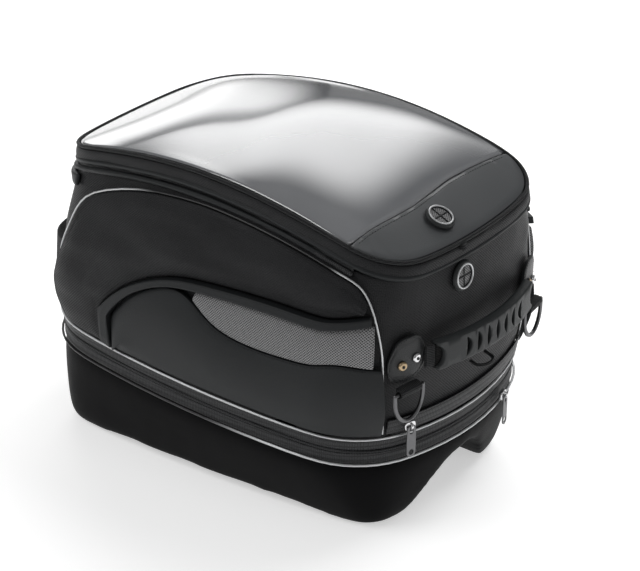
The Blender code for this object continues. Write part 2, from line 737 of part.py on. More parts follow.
def build_side(name, side):
    turn_at = side_turn(side)
    edge = WELT_HALF_M + SEAM_GAP_M
    start = welt_point(0.0, edge)
    under = [(share, POD_FLOOR) for share in even_shares(4, 0.0, start[0] - 0.012)]
    under += [welt_point(share, edge) for share in WELT_SHARES]
    over = [pod_rear(angle) for angle in REAR_ANGLES]
    over += [(share, POD_CREST) for share in even_shares(9, POD_REAR_RUN, POD_FRONT)[1:]]
    over += [pod_front(angle) for angle in FRONT_ANGLES[:3]]
    wall_patch(f"side_panel_{name}", turn_at, under, over, POD_GAP,
               pad_height(0.0035, 0.005), 3, "shell_fabric")

    rim = [welt_point(share, -edge) for share in WELT_SHARES]
    high = [point for point in rim if point[0] > MESH_REAR]
    gap = SEAM_GAP_M / 2 / POD_HEIGHT_M
    low = [(share, mesh_line(share) + gap) for share, _ in high]
    wall_patch(f"pocket_mesh_{name}", turn_at, low, high, POD_GAP,
               pad_height(0.0040, 0.002), 2, "mesh_fabric")

    top = [point for point in rim if point[0] < MESH_REAR - 0.01]
    top += [(share, height - 2 * gap) for share, height in low] + [(1.0, mesh_line(1.0) - gap)]
    bottom = [(share, POD_FLOOR) for share in even_shares(len(top) - 1, top[0][0] + 0.002, 1.0)]
    wall_patch(f"side_pocket_{name}", turn_at, bottom, top, POD_GAP,
               pad_height(0.0045, 0.005), 3, "smooth_fabric")

    wall_patch(f"pocket_welt_{name}", turn_at, [welt_point(share, -WELT_HALF_M) for share in WELT_SHARES],
               [welt_point(share, WELT_HALF_M) for share in WELT_SHARES], POD_GAP, lambda s, up: 0.0095, 1,
               "smooth_fabric")

    path = [(0.0, POD_FLOOR + (POD_SHOULDER - POD_FLOOR) * i / 5) for i in range(5)]
    path += [pod_rear(angle) for angle in REAR_ANGLES]
    path += [(share, POD_CREST) for share in even_shares(9, POD_REAR_RUN, POD_FRONT)[1:]]
    path += [pod_front(angle) for angle in FRONT_ANGLES]
    path += [(1.0, POD_FLOOR + (path[-1][1] - POD_FLOOR) * (1 - i / 5)) for i in range(1, 6)]
    tube(f"side_piping_{name}", edge_line(path, turn_at, side, 0.0026, 0.0024), 0.0015, "reflective")


# ---------------------------------------------------------------- front fittings
def build_port(name, frame):
    """Cable port: a moulded flange and the slit membrane that a lead is pushed through."""
    lip = [(PORT_OPENING, 0.0004), (PORT_RADIUS, 0.0004), (PORT_RADIUS, 0.0016)]
    lip += [(PORT_RADIUS - 0.0012, PORT_HEIGHT), (PORT_OPENING + 0.0006, PORT_HEIGHT)]
    lip.append((PORT_OPENING, 0.0022))
    turned(name, lip[::-1], "rubber", frame)
    bpy.ops.mesh.primitive_cylinder_add(vertices=18, radius=PORT_OPENING - GAP, depth=0.0012)
    disc = bpy.context.object
    disc.name = f"{name}_membrane"
    for group in disc.users_collection:
        group.objects.unlink(disc)
    disc.matrix_world = frame @ Matrix.Translation((0, 0, 0.0014))
    link(disc, "mesh_fabric")
    for i in range(2):
        bpy.ops.mesh.primitive_cube_add(size=1.0)
        slit = bpy.context.object
        slit.name = f"{name}_slit_cutter_{i}"
        for group in slit.users_collection:
            group.objects.unlink(slit)
        slit.data.transform(Matrix.Diagonal((0.0150, SLIT_WIDTH, 0.01, 1.0)))
        slit.matrix_world = frame @ Matrix.Rotation(math.radians(90 * i), 4, "Z")
        link(slit, None, CUTTERS)
        cut(disc, slit)
    return bpy.data.objects[name], disc


def rivet(name, frame, material):
    """Domed rivet with a dimple in its head."""
    dome = [(0.0, 0.0028), (0.0012, 0.0024), (0.0018, 0.0028), (0.0034, 0.0025)]
    dome += [(0.0043, 0.0014), (0.0043, 0.0003), (0.0, 0.0003)]
    return turned(name, dome[::-1], material, frame, 12)


def patch_end(share):
    """How far the anchor patch is open at a share of its width: rounded off towards both ends."""
    return max((1 - abs(2 * share - 1) ** 4) ** 0.5, 0.25)


def build_patch(name, side):
    def turn_at(share, height):
        along = PATCH_FIRST + (PATCH_LAST - PATCH_FIRST) * share
        return along if side > 0 else 4 - along
    shares = even_shares(10)
    low = [(share, PATCH_MIDDLE - 0.11 * patch_end(share)) for share in shares]
    high = [(share, PATCH_MIDDLE + (0.18 - 0.03 * share) * patch_end(share)) for share in shares]
    wall_patch(f"anchor_patch_{name}", turn_at, low, high, 0.0012, lambda s, up: PATCH_OUT, 2, "leather")
    metals = ("brass", "chrome") if side < 0 else ("chrome", "brass")
    for i, (share, height, metal) in enumerate(((0.60, 0.498, metals[0]), (0.19, 0.528, metals[1]))):
        frame = wall_frame(turn_at(share, height), height, PATCH_OUT + GAP)
        rivet(f"patch_rivet_{name}_{i + 1}", frame, metal)


def build_ring(name, side):
    """D-ring and the webbing tab that holds it; the ring swings about its straight bar."""
    tilt = math.radians(RING_TILT) * side
    axis = make_axis(f"d_ring_axis_{name}", (RING_X, side * RING_Y, RING_AXIS_Z), (0, 0, tilt))
    half = RING_WIDTH / 2 - RING_WIRE
    outline = [(-half + 2 * half * i / 4, 0.0) for i in range(5)]
    outline += [(x, z) for x, z in arc_points((0.0, -0.006), half, 0, -180, 15, 1.35)]
    path = [(0.0, y, z) for y, z in outline]
    ring = tube(f"d_ring_{name}", path, RING_WIRE, "dark_metal", True)
    ring.parent = axis
    hole = arc_points((0.0, 0.0), RING_WIRE + GAP * 1.5, 0, 360 * 11 / 12, 12)
    wrap = RING_WIRE + TAB_THICKNESS
    outer = arc_points((0.0, 0.0), wrap, -180, 60, 13)
    outer += [(-0.0004, 0.0046), (-wrap, 0.0046)]
    frame = Matrix.Translation((RING_X, side * RING_Y, RING_AXIS_Z)) @ Matrix.Rotation(tilt, 4, "Z")
    frame = frame @ Matrix.Rotation(math.radians(90), 4, "X")
    flat_shape(f"ring_tab_{name}", [outer, hole], TAB_WIDTH, "webbing", frame)


def grip_face(y):
    """Distance in X of the grip's outer face: an arc bowed away from the bag."""
    radius = (GRIP_HALF_LENGTH**2 + GRIP_BOW**2) / (2 * GRIP_BOW)
    return REACH - radius + math.sqrt(radius**2 - y**2)


def grip_slab(name, half_length, low, high, back, front, material, columns=14, group=PARTS):
    """Curved bar: half height functions of y, between two depths behind the outer face."""
    outer, inner = [], []
    for r, edge in enumerate((low, high)):
        outer_row, inner_row = [], []
        for i in range(columns + 1):
            y = -half_length + 2 * half_length * i / columns
            z = GRIP_Z + edge(y)
            outer_row.append((grip_face(y) - front, y, z))
            inner_row.append((grip_face(y) - back, y, z))
        outer.append(outer_row)
        inner.append(inner_row)
    return slab(name, outer, inner, material, group)


def build_handle():
    def half_height(y):
        return GRIP_HEIGHT / 2 * (0.96 + 0.04 * (y / GRIP_HALF_LENGTH) ** 2)

    pivot = make_axis("handle_axis", (HANDLE_AXIS_X, 0, GRIP_Z))
    grip = grip_slab("grip", GRIP_HALF_LENGTH, lambda y: -half_height(y), half_height,
                     GRIP_THICKNESS, 0.0, "rubber")
    half_strap = HANDLE_STRAP / 2
    channel = grip_slab("channel_cutter", GRIP_HALF_LENGTH * 1.02, lambda y: -half_strap - GAP,
                        lambda y: half_strap + GAP, STRAP_BACK, STRAP_FRONT, None, group=CUTTERS)
    cut(grip, channel)
    for i in range(GRIP_SLOTS):
        place = -SLOT_SPREAD + 2 * SLOT_SPREAD * i / (GRIP_SLOTS - 1)
        lean = (i - (GRIP_SLOTS - 1) / 2) / ((GRIP_SLOTS - 1) / 2)
        change = SLOT_CHANGE * abs(lean)
        outline = slot_outline(SLOT_HALF_HEIGHT - change, SLOT_HALF_WIDTH + change, -SLOT_CURL * lean)
        frame = facing((grip_face(place), place, GRIP_Z), (1, 0, 0))
        cut(grip, flat_shape(f"slot_cutter_{i}", [outline], 0.0070, None, frame, CUTTERS))
    for end in (-1, 1):
        notch = end * (GRIP_HALF_LENGTH + 0.0025)
        frame = facing((grip_face(GRIP_HALF_LENGTH), notch, GRIP_Z), (1, 0, 0))
        fork = arc_points((0, 0), 0.0085, 0, 360 * 19 / 20, 20, 1.15)
        cut(grip, flat_shape(f"fork_cutter_{end + 2}", [fork], 0.04, None, frame, CUTTERS))
    strap = grip_slab("handle_strap", GRIP_HALF_LENGTH, lambda y: -half_strap, lambda y: half_strap,
                      STRAP_BACK - GAP, STRAP_FRONT + GAP, "webbing")
    ends = [build_strap_end(name, side, half_strap) for name, side in SIDE_NAMES.items()]
    for piece in (grip, strap, *ends):
        hang(piece, pivot)


def slot_outline(half_height, half_width, curl):
    """Lens-shaped slot, bent sideways by curl at its middle."""
    points = []
    for sign in (1, -1):
        for i in range(8):
            share = -1 + 2 * i / 8
            share *= sign
            x = sign * half_width * (1 - share**2) + curl * (1 - share**2) * 2
            points.append((x, half_height * share))
    return points


def build_strap_end(name, side, half_strap):
    """Webbing from the grip's end back to the wall beside the anchor patch."""
    start = GRIP_HALF_LENGTH + 0.0006
    first = grip_face(start) - STRAP_FRONT - GAP
    outer, inner = [], []
    for z in (-half_strap, half_strap):
        outer_row, inner_row = [], []
        for i in range(6):
            share = i / 5
            y = start + 0.0068 * share
            face = first - (first - STRAP_END_X) * share ** 1.2
            outer_row.append((face, side * y, GRIP_Z + z))
            inner_row.append((face - STRAP_THICKNESS, side * y, GRIP_Z + z))
        outer.append(outer_row)
        inner.append(inner_row)
    return slab(f"strap_end_{name}", outer, inner, "webbing")


def build_front():
    build_port("front_port", wall_frame(3.925, 0.885, 0.0008))
    for name, side in SIDE_NAMES.items():
        build_patch(name, side)
        build_ring(name, side)
    build_handle()
    front = wall_point(0.0, 0.31, 0.0)
    half = LOOP_HALF_WIDTH
    loop = [(front[0] + 0.0012, -half, front[2])]
    for i in range(11):
        angle = math.pi * i / 10
        x = front[0] + 0.007 + 0.0075 * math.sin(angle)
        loop.append((x, -half * math.cos(angle), front[2] - 0.002))
    loop.append((front[0] + 0.0012, half, front[2]))
    tube("centre_loop", loop, LOOP_RADIUS, "webbing")


def build_rear_strap():
    """Grab strap across the rear: flat webbing bowed away from the wall."""
    outer, inner = [], []
    for z in (-STRAP_WIDTH / 2, STRAP_WIDTH / 2):
        outer_row, inner_row = [], []
        for share in even_shares(16, -1.0, 1.0):
            x, y, level = wall_point(2 - 0.27 * share, GRAB_HEIGHT + z / 0.122, 0.0014)
            x += (STRAP_THICKNESS - REACH + 0.012 * share**2 - x) * (1 - abs(share) ** 6)
            outer_row.append((x - STRAP_THICKNESS, y, level))
            inner_row.append((x, y, level))
        outer.append(outer_row)
        inner.append(inner_row)
    slab("rear_grab_strap", outer, inner, "webbing")


# ---------------------------------------------------------------- zip sliders
def build_slider(name, pivot, frame):
    """Slider and its pull: local X runs along the zip, Y up, Z outward; the pull swings about X."""
    long_half = SLIDER_LENGTH / 2 - SLIDER_CORNER
    high_half = SLIDER_HEIGHT / 2 - SLIDER_CORNER
    outline = []
    for sx, sy, start in ((1, 1, 0), (-1, 1, 90), (-1, -1, 180), (1, -1, 270)):
        outline += arc_points((sx * long_half, sy * high_half), SLIDER_CORNER, start, start + 90, 3)
    body = flat_shape(f"{name}_slider", [outline], SLIDER_DEPTH, "chrome", frame)
    bow = arc_points((0.0, 0.0), 0.0033, 0, 180, 7, 1.05) + [(-0.0033, -0.0006), (0.0033, -0.0006)]
    hole = [(x, max(y, 0.0003)) for x, y in arc_points((0.0, 0.0), 0.0022, 0, 180, 7)]
    upright = Matrix.Translation((0, 0, SLIDER_DEPTH / 2 - 0.0002))
    upright = upright @ Matrix.Rotation(math.radians(90), 4, "Y")
    upright = upright @ Matrix.Rotation(math.radians(90), 4, "Z")
    bridge = flat_shape(f"{name}_bridge_cutter", [bow, hole], 0.0020, None, frame @ upright, CUTTERS)
    cut(body, bridge, "UNION")
    hang(body, pivot)

    bar, width, drop = PULL_BAR, PULL_HALF_WIDTH, PULL_LENGTH
    hinge = frame @ Matrix.Translation((0, 0, SLIDER_DEPTH / 2 + 0.0011))
    tab = arc_points((0.0, -drop + width), width, -180, 0, 9)
    tab += [(width, -0.004), (0.0036, bar / 2), (-0.0036, bar / 2), (-width, -0.004)]
    window = [(0.0018, -bar / 2), (0.0018, -0.0062), (-0.0018, -0.0062), (-0.0018, -bar / 2)]
    eye = arc_points((0.0, -drop + width), 0.0026, 0, 360 * 9 / 10, 10)
    pull = flat_shape(f"{name}_pull", [tab, window, eye], bar, "dark_metal", hinge)
    swing = make_axis(f"{name}_pull_axis", hinge.translation, hinge.to_euler())
    hang(pull, swing)


def upright_frame(place, angle):
    """Frame on an upright band: local Z outward at an angle from +X, local Y up."""
    return facing(place, (math.cos(angle), math.sin(angle), 0.0))


def ring_arc(ring, y, out):
    """Place on the front end arc of a ring: the arc's centre, the X at y, and the angle there."""
    centre = ring[6] + ring[0] - ring[3]
    radius = ring[3] + out
    angle = math.asin(y / radius)
    return centre, centre + radius * math.cos(angle), angle


def build_sliders():
    for name, y, rise, out, ring in (("front_zip", -0.0795, 0.0100, 0.0040, wall_ring(0.0775)),
                                     ("base_zip", 0.049, -BAND_HEIGHT * 0.74, 0.0034, PIPING_RING)):
        centre, x, angle = ring_arc(ring, y, out)
        tilt = math.atan(-PIPING_SLOPE)
        pivot = make_axis(f"{name}_arc_axis", (centre, 0.0, piping_z(centre) + rise), (0, tilt, 0))
        build_slider(name, pivot, upright_frame((x, y, piping_z(x) + rise), angle))
    ring = wall_ring(ZIP_LINE)
    centre = ring[6] - ring[0] + ring[3]
    for name, side in SIDE_NAMES.items():
        frame = wall_frame(2 - side * 0.040, ZIP_LINE, 0.0052)
        pivot = make_axis(f"main_zip_arc_axis_{name}", (centre, 0.0, frame.translation.z))
        build_slider(f"main_zip_{name}", pivot, frame)


# ---------------------------------------------------------------- lid
def lid_frame_ring(distance, drop):
    points = []
    for turn in all_turns():
        (x, y), normal = ring_point(LID_RING, turn)
        x, y = x + distance * normal[0], y + distance * normal[1]
        points.append((x, y, lid_z(x) - drop))
    return points


def lid_disc(name, inset, drop, thickness, material):
    """Crowned sheet that fills the lid's outline, inset from its edge."""
    scales = (1.0, 0.85, 0.55, 0.22)

    def ring(scale, lower):
        points = []
        for turn in all_turns():
            (x, y), normal = ring_point(LID_RING, turn)
            x, y = x - inset * normal[0], y - inset * normal[1]
            x, y = LID_RING[6] + (x - LID_RING[6]) * scale, y * scale
            points.append((x, y, lid_z(x) - drop - lower + LID_CROWN * (1 - scale**2)))
        return points

    rings = [ring(scale, 0.0) for scale in reversed(scales)] + [ring(scale, thickness) for scale in scales]
    return loft(name, rings, material)


def boundary_prism(name, front, shift=0.0):
    """Block on one side of the S-curved seam between the map window and the vinyl front."""
    rings = []
    far = 0.4 if front else -0.4
    for z in (0.1, 0.5):
        seam = []
        for i in range(13):
            y = -0.16 + 0.32 * i / 12
            wave = math.sin(y / 0.030) * math.exp(-((y / 0.060) ** 2))
            seam.append((SEAM_X + shift - SEAM_WAVE * wave, y, z))
        rings.append(seam + [(far, 0.16, z), (far, -0.16, z)])
    return loft(name, rings, None, group=CUTTERS)


def build_lid():
    hinge_z = lid_z(LID_RING[6] + LID_RING[0]) - RIM_DROP
    pivot = make_axis("lid_axis", (LID_RING[6] + LID_RING[0] + 0.0012, 0.0, hinge_z))
    pieces = []
    rim = [lid_frame_ring(RIM_OUT, RIM_DROP), lid_frame_ring(RIM_OUT, RIM_TOP)]
    rim += [lid_frame_ring(RIM_IN, RIM_TOP), lid_frame_ring(RIM_IN, RIM_DROP)]
    pieces.append(loft("lid_rim", rim, "shell_fabric", closed=True))
    pieces.append(tube("lid_binding", lid_frame_ring(0.0, 0.0008), 0.0018, "webbing", True))
    window = lid_disc("map_window", WINDOW_INSET, 0.0, WINDOW_SHEET, "clear_sheet")
    cut(window, boundary_prism("window_front_cutter", True, -0.0006))
    vinyl = lid_disc("lid_vinyl_front", WINDOW_INSET, 0.0, VINYL_SHEET, "vinyl")
    cut(vinyl, boundary_prism("vinyl_rear_cutter", False, 0.0006))
    backing = lid_disc("map_backing", MAP_INSET, MAP_DROP, WINDOW_SHEET, "map_sheet")
    lining = lid_disc("lid_lining", MAP_INSET, LID_LINING_DROP, LID_LINING, "lining_fabric")
    pieces += [window, vinyl, backing, lining]
    pieces.append(wall_band("main_zip_tape_upper", 36, ZIP_FIRST, 4 - ZIP_FIRST, 0.972, 0.988, -0.0012,
                            lambda s, up: 0.0002, 1, "webbing"))
    x = LID_PORT_X
    along = (x - LID_RING[6]) / LID_RING[0]
    rise = LID_CROWN * (1 - along**2) * (1 - (PORT_SHIFT / LID_RING[1]) ** 2)
    slope = (lid_z(x + 0.005) - lid_z(x - 0.005)) / 0.01 - 2 * LID_CROWN * along / LID_RING[0]
    place = (x, -PORT_SHIFT, lid_z(x) + rise + VINYL_SHEET)
    frame = facing(place, (-slope, 0.0, 1.0), (1.0, 0.0, 0.0))
    pieces += build_port("lid_port", frame)
    for piece in pieces:
        hang(piece, pivot)


def build_everything():
    build_base()
    build_shell()
    for name, side in SIDE_NAMES.items():
        build_side(name, side)
    build_front()
    build_rear_strap()
    build_sliders()
    build_lid()


build_everything()
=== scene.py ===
import json
import math

import bmesh
import bpy
import numpy as np
from mathutils import Matrix, Vector, noise
from mathutils.bvhtree import BVHTree
from mathutils.kdtree import KDTree


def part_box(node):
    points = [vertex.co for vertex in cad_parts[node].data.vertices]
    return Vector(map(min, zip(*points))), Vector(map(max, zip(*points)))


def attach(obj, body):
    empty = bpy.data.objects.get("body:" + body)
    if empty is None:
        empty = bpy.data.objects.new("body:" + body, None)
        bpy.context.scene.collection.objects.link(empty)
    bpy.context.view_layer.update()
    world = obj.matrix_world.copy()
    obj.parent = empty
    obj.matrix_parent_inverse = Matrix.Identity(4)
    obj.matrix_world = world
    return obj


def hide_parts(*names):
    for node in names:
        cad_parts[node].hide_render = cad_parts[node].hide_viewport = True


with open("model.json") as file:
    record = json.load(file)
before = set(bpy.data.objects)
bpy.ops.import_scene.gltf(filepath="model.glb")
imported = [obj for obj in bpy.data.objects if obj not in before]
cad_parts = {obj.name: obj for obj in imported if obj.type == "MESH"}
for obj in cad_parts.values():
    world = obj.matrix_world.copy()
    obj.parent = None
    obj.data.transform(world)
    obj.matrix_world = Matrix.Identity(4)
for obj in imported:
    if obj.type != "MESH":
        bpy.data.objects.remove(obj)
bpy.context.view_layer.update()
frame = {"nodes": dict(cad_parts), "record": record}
NODES = frame["nodes"]
BODY_OF = {
    node: body
    for body, nodes in frame["record"]["behaviour"]["bodies"].items()
    for node in nodes
}
SLOT_OF = {part["node"]: part["material_slot"] for part in frame["record"]["subparts"]}
MM = 0.001
CREASE = 40.0  # degrees; an edge that bends more than this stays a corner

# ---------------------------------------------------------------- materials
# The Mix node has separate sockets for numbers and for colours.
MIX_NUMBERS = (2, 3)
MIX_COLOURS = (6, 7)
MIX_COLOUR_OUT = 2


def new_material(name, colour, roughness, metallic=0.0, specular=0.5):
    """A Principled material and its shader node."""
    material = bpy.data.materials.new(name)
    material.use_nodes = True
    shader = material.node_tree.nodes["Principled BSDF"]
    shader.inputs["Base Color"].default_value = (*colour, 1.0)
    shader.inputs["Roughness"].default_value = roughness
    shader.inputs["Metallic"].default_value = metallic
    shader.inputs["Specular IOR Level"].default_value = specular
    return material, shader


def add_node(material, kind, **settings):
    node = material.node_tree.nodes.new(kind)
    for key, value in settings.items():
        setattr(node, key, value)
    return node


def wire(material, source, target):
    material.node_tree.links.new(source, target)


def maths(material, operation, first, second=None):
    node = add_node(material, "ShaderNodeMath", operation=operation)
    for socket, value in zip(node.inputs, (first, second)):
        if value is None:
            continue
        if isinstance(value, (int, float)):
            socket.default_value = value
        else:
            wire(material, value, socket)
    return node.outputs[0]


def cloth_axes(material, turn=0.0):
    """The two thread directions as metres along the surface, from the piece's UV map."""
    uv = add_node(material, "ShaderNodeUVMap", uv_map="metres")
    mapping = add_node(material, "ShaderNodeMapping")
    mapping.inputs["Rotation"].default_value = (0.0, 0.0, math.radians(turn))
    wire(material, uv.outputs[0], mapping.inputs[0])
    split = add_node(material, "ShaderNodeSeparateXYZ")
    wire(material, mapping.outputs[0], split.inputs[0])
    return split.outputs[0], split.outputs[1]


def hump(material, along, pitch):
    """0 to 1 ridges, one for each pitch."""
    angle = maths(material, "MULTIPLY", along, math.pi / pitch)
    return maths(material, "ABSOLUTE", maths(material, "SINE", angle))


def alternate(material, first, second, pitch):
    """1 or 0 in a chequer of the given pitch."""
    cells = maths(
        material,
        "ADD",
        maths(material, "FLOOR", maths(material, "DIVIDE", first, pitch)),
        maths(material, "FLOOR", maths(material, "DIVIDE", second, pitch)),
    )
    return maths(material, "FLOORED_MODULO", cells, 2.0)


def blend_values(material, share, low, high):
    node = add_node(material, "ShaderNodeMix", data_type="FLOAT")
    wire(material, share, node.inputs[0])
    for index, value in zip(MIX_NUMBERS, (low, high)):
        socket = node.inputs[index]
        if isinstance(value, (int, float)):
            socket.default_value = value
        else:
            wire(material, value, socket)
    return node.outputs[0]


def cloudy(material, size, detail=3.0):
    """Soft noise at a size in metres, in the piece's own space."""
    place = add_node(material, "ShaderNodeTexCoord")
    texture = add_node(material, "ShaderNodeTexNoise")
    texture.inputs["Scale"].default_value = 1.0 / size
    texture.inputs["Detail"].default_value = detail
    wire(material, place.outputs["Object"], texture.inputs["Vector"])
    return texture.outputs["Fac"]


def tint(material, shader, share, dark, light):
    """Colour the surface between two colours by a 0 to 1 value."""
    ramp = add_node(material, "ShaderNodeMix", data_type="RGBA")
    for index, colour in zip(MIX_COLOURS, (dark, light)):
        ramp.inputs[index].default_value = (*colour, 1.0)
    wire(material, share, ramp.inputs[0])
    wire(material, ramp.outputs[MIX_COLOUR_OUT], shader.inputs["Base Color"])


def roughen(material, shader, share, low, high):
    wire(material, blend_values(material, share, low, high), shader.inputs["Roughness"])


def raise_bump(material, shader, height, depth):
    bump = add_node(material, "ShaderNodeBump")
    bump.inputs["Strength"].default_value = 1.0
    bump.inputs["Distance"].default_value = depth
    wire(material, height, bump.inputs["Height"])
    wire(material, bump.outputs[0], shader.inputs["Normal"])


def woven(name, dark, light, pitch, depth, roughness, sheen=0.0):
    """Basket weave of crossing threads with a little fuzz and uneven dye."""
    material, shader = new_material(name, dark, roughness, specular=0.2)
    first, second = cloth_axes(material)
    over = alternate(material, first, second, pitch)
    threads = blend_values(
        material, over, hump(material, first, pitch), hump(material, second, pitch)
    )
    dye = cloudy(material, 0.03)
    shade = maths(material, "MULTIPLY", threads, maths(material, "ADD", dye, 0.4))
    tint(material, shader, shade, dark, light)
    roughen(material, shader, threads, roughness + 0.1, roughness - 0.08)
    raise_bump(material, shader, threads, depth)
    shader.inputs["Sheen Weight"].default_value = sheen
    shader.inputs["Sheen Roughness"].default_value = 0.45
    return material


def ribbed(name, dark, light, rib, cross, depth, roughness):
    """Woven strap: ribs along it, crossed by finer threads."""
    material, shader = new_material(name, dark, roughness, specular=0.2)
    first, second = cloth_axes(material)
    ribs = hump(material, second, rib)
    threads = hump(material, first, cross)
    cloth = maths(material, "MULTIPLY", ribs, maths(material, "ADD", threads, 0.5))
    tint(material, shader, cloth, dark, light)
    raise_bump(material, shader, cloth, depth)
    shader.inputs["Sheen Weight"].default_value = 0.04
    return material


def grained(name, dark, light, size, depth, roughness, specular=0.5):
    """Leather, coated cloth, rubber or moulded plastic: fine grain and broad patches of wear."""
    material, shader = new_material(name, dark, roughness, specular=specular)
    grain = cloudy(material, size, 5.0)
    patches = cloudy(material, size * 40, 2.0)
    tint(material, shader, patches, dark, light)
    roughen(material, shader, patches, roughness - 0.06, roughness + 0.06)
    raise_bump(material, shader, grain, depth)
    return material


def plated(name, colour, roughness, wear):
    """Metal with faint polish marks and duller patches."""
    material, shader = new_material(name, colour, roughness, 1.0)
    marks = cloudy(material, 0.004, 4.0)
    roughen(material, shader, marks, roughness, roughness + wear)
    tint(material, shader, marks, colour, [part * 0.8 for part in colour])
    raise_bump(material, shader, marks, 0.00002)
    return material


def netting(name, thread, hole, pitch):
    """Open mesh: pale crossing threads over dark cloth."""
    material, shader = new_material(name, thread, 0.6, specular=0.4)
    first, second = cloth_axes(material, 45.0)
    ridge = maths(
        material, "MAXIMUM", hump(material, first, pitch), hump(material, second, pitch)
    )
    ridge = maths(material, "POWER", ridge, 5.0)
    tint(material, shader, ridge, hole, thread)
    raise_bump(material, shader, ridge, 0.0004)
    return material


def clear_film(name):
    """Soft clear film over a pale backing: milky, glossy, a little hazed by handling."""
    material, shader = new_material(name, (0.17, 0.175, 0.185), 0.14, specular=1.0)
    shader.inputs["Alpha"].default_value = 0.85
    shader.inputs["IOR"].default_value = 1.55
    shader.inputs["Coat Weight"].default_value = 1.0
    shader.inputs["Coat Roughness"].default_value = 0.09
    shader.inputs["Coat IOR"].default_value = 1.6
    haze = cloudy(material, 0.06, 2.0)
    roughen(material, shader, haze, 0.12, 0.20)
    tint(material, shader, haze, (0.15, 0.155, 0.165), (0.20, 0.205, 0.215))
    return material


def toothed(name, dark, light, pitch, depth):
    """Zip coil and tape: upright teeth in a close row, the cloth beside them finer."""
    material, shader = new_material(name, dark, 0.45, specular=0.35)
    first, second = cloth_axes(material)
    teeth = maths(material, "POWER", hump(material, first, pitch), 0.6)
    rows = hump(material, second, pitch * 2.6)
    relief = maths(material, "MULTIPLY", teeth, maths(material, "ADD", rows, 0.25))
    tint(material, shader, relief, dark, light)
    raise_bump(material, shader, relief, depth)
    return material


def silver_tape(name, turns=()):
    """Reflective piping; a turn is (from x, to x, 1 for silver or -1 for dark); the tape is painted
    dark between turns.
    """
    material, shader = new_material(name, (0.62, 0.63, 0.64), 0.33, 0.55)
    grain = cloudy(material, 0.0015)
    silver = blend_values(material, grain, 0.75, 1.0)
    if turns:
        place = add_node(material, "ShaderNodeTexCoord")
        split = add_node(material, "ShaderNodeSeparateXYZ")
        wire(material, place.outputs["Object"], split.inputs[0])
        share = 1.0 if turns[0][2] < 0 else 0.0
        for start, end, sign in turns:
            turn = add_node(material, "ShaderNodeMapRange", interpolation_type="SMOOTHSTEP")
            turn.inputs["From Min"].default_value = start
            turn.inputs["From Max"].default_value = end
            wire(material, split.outputs[0], turn.inputs["Value"])
            share = maths(material, "ADD" if sign > 0 else "SUBTRACT", share, turn.outputs[0])
        silver = maths(material, "MULTIPLY", silver, share)
        wire(material, maths(material, "MULTIPLY", share, 0.55), shader.inputs["Metallic"])
    tint(material, shader, silver, (0.010, 0.010, 0.011), (0.68, 0.69, 0.70))
    raise_bump(material, shader, grain, 0.0001)
    return material


MATERIALS = {
    "shell_fabric": woven(
        "ballistic_nylon", (0.003, 0.003, 0.0035), (0.016, 0.0165, 0.018),
        0.0013, 0.00020, 0.55, 0.05,
    ),
    "smooth_fabric": grained(
        "coated_cloth", (0.009, 0.010, 0.011), (0.014, 0.016, 0.017), 0.0008, 0.0002, 0.5, 0.25
    ),
    "lining_fabric": woven(
        "lining", (0.13, 0.13, 0.14), (0.24, 0.24, 0.25), 0.0010, 0.0002, 0.7
    ),
    "webbing": ribbed(
        "webbing", (0.003, 0.003, 0.004), (0.020, 0.021, 0.022), 0.0016, 0.0011, 0.0004, 0.6
    ),
    "reflective": silver_tape("reflective_piping"),
    "mesh_fabric": netting("open_mesh", (0.33, 0.33, 0.335), (0.02, 0.02, 0.021), 0.0017),
    "vinyl": grained(
        "vinyl", (0.052, 0.055, 0.058), (0.062, 0.065, 0.068), 0.0009, 0.00012, 0.42, 0.4
    ),
    "clear_sheet": clear_film("clear_film"),
    "map_sheet": grained("map_backing", (0.20, 0.20, 0.21), (0.26, 0.26, 0.27), 0.002, 0.0002, 0.5),
    "moulded_base": grained(
        "moulded_foam", (0.0014, 0.0014, 0.0017), (0.0026, 0.0026, 0.003), 0.0007, 0.0001, 0.5, 0.04
    ),
    "board": grained("board", (0.03, 0.03, 0.03), (0.05, 0.05, 0.05), 0.001, 0.0001, 0.6),
    "rubber": grained(
        "rubber", (0.018, 0.020, 0.0205), (0.028, 0.030, 0.031), 0.0006, 0.00015, 0.5, 0.3
    ),
    "leather": grained(
        "leather", (0.010, 0.011, 0.012), (0.020, 0.021, 0.022), 0.0011, 0.0004, 0.42, 0.35
    ),
    "chrome": plated("chrome", (0.80, 0.80, 0.81), 0.12, 0.12),
    "brass": plated("brass", (0.50, 0.38, 0.24), 0.28, 0.15),
    "dark_metal": plated("dark_nickel", (0.16, 0.16, 0.165), 0.26, 0.14),
}
ZIP_TAPE = toothed("zip_tape", (0.003, 0.003, 0.0035), (0.028, 0.029, 0.031), 0.0017, 0.0005)
# Painted shade: the lower piping is reflective tape all along, painted dark at its rear where it
# catches no light, turning silver between x 0.02 and 0.09.
SHADED_LOWER_PIPING = silver_tape("lower_piping_tape_painted_shade", ((0.02, 0.09, 1),))
SIDE_PIPING = silver_tape("side_piping_tape", ((-0.085, -0.045, -1), (0.135, 0.152, 1)))
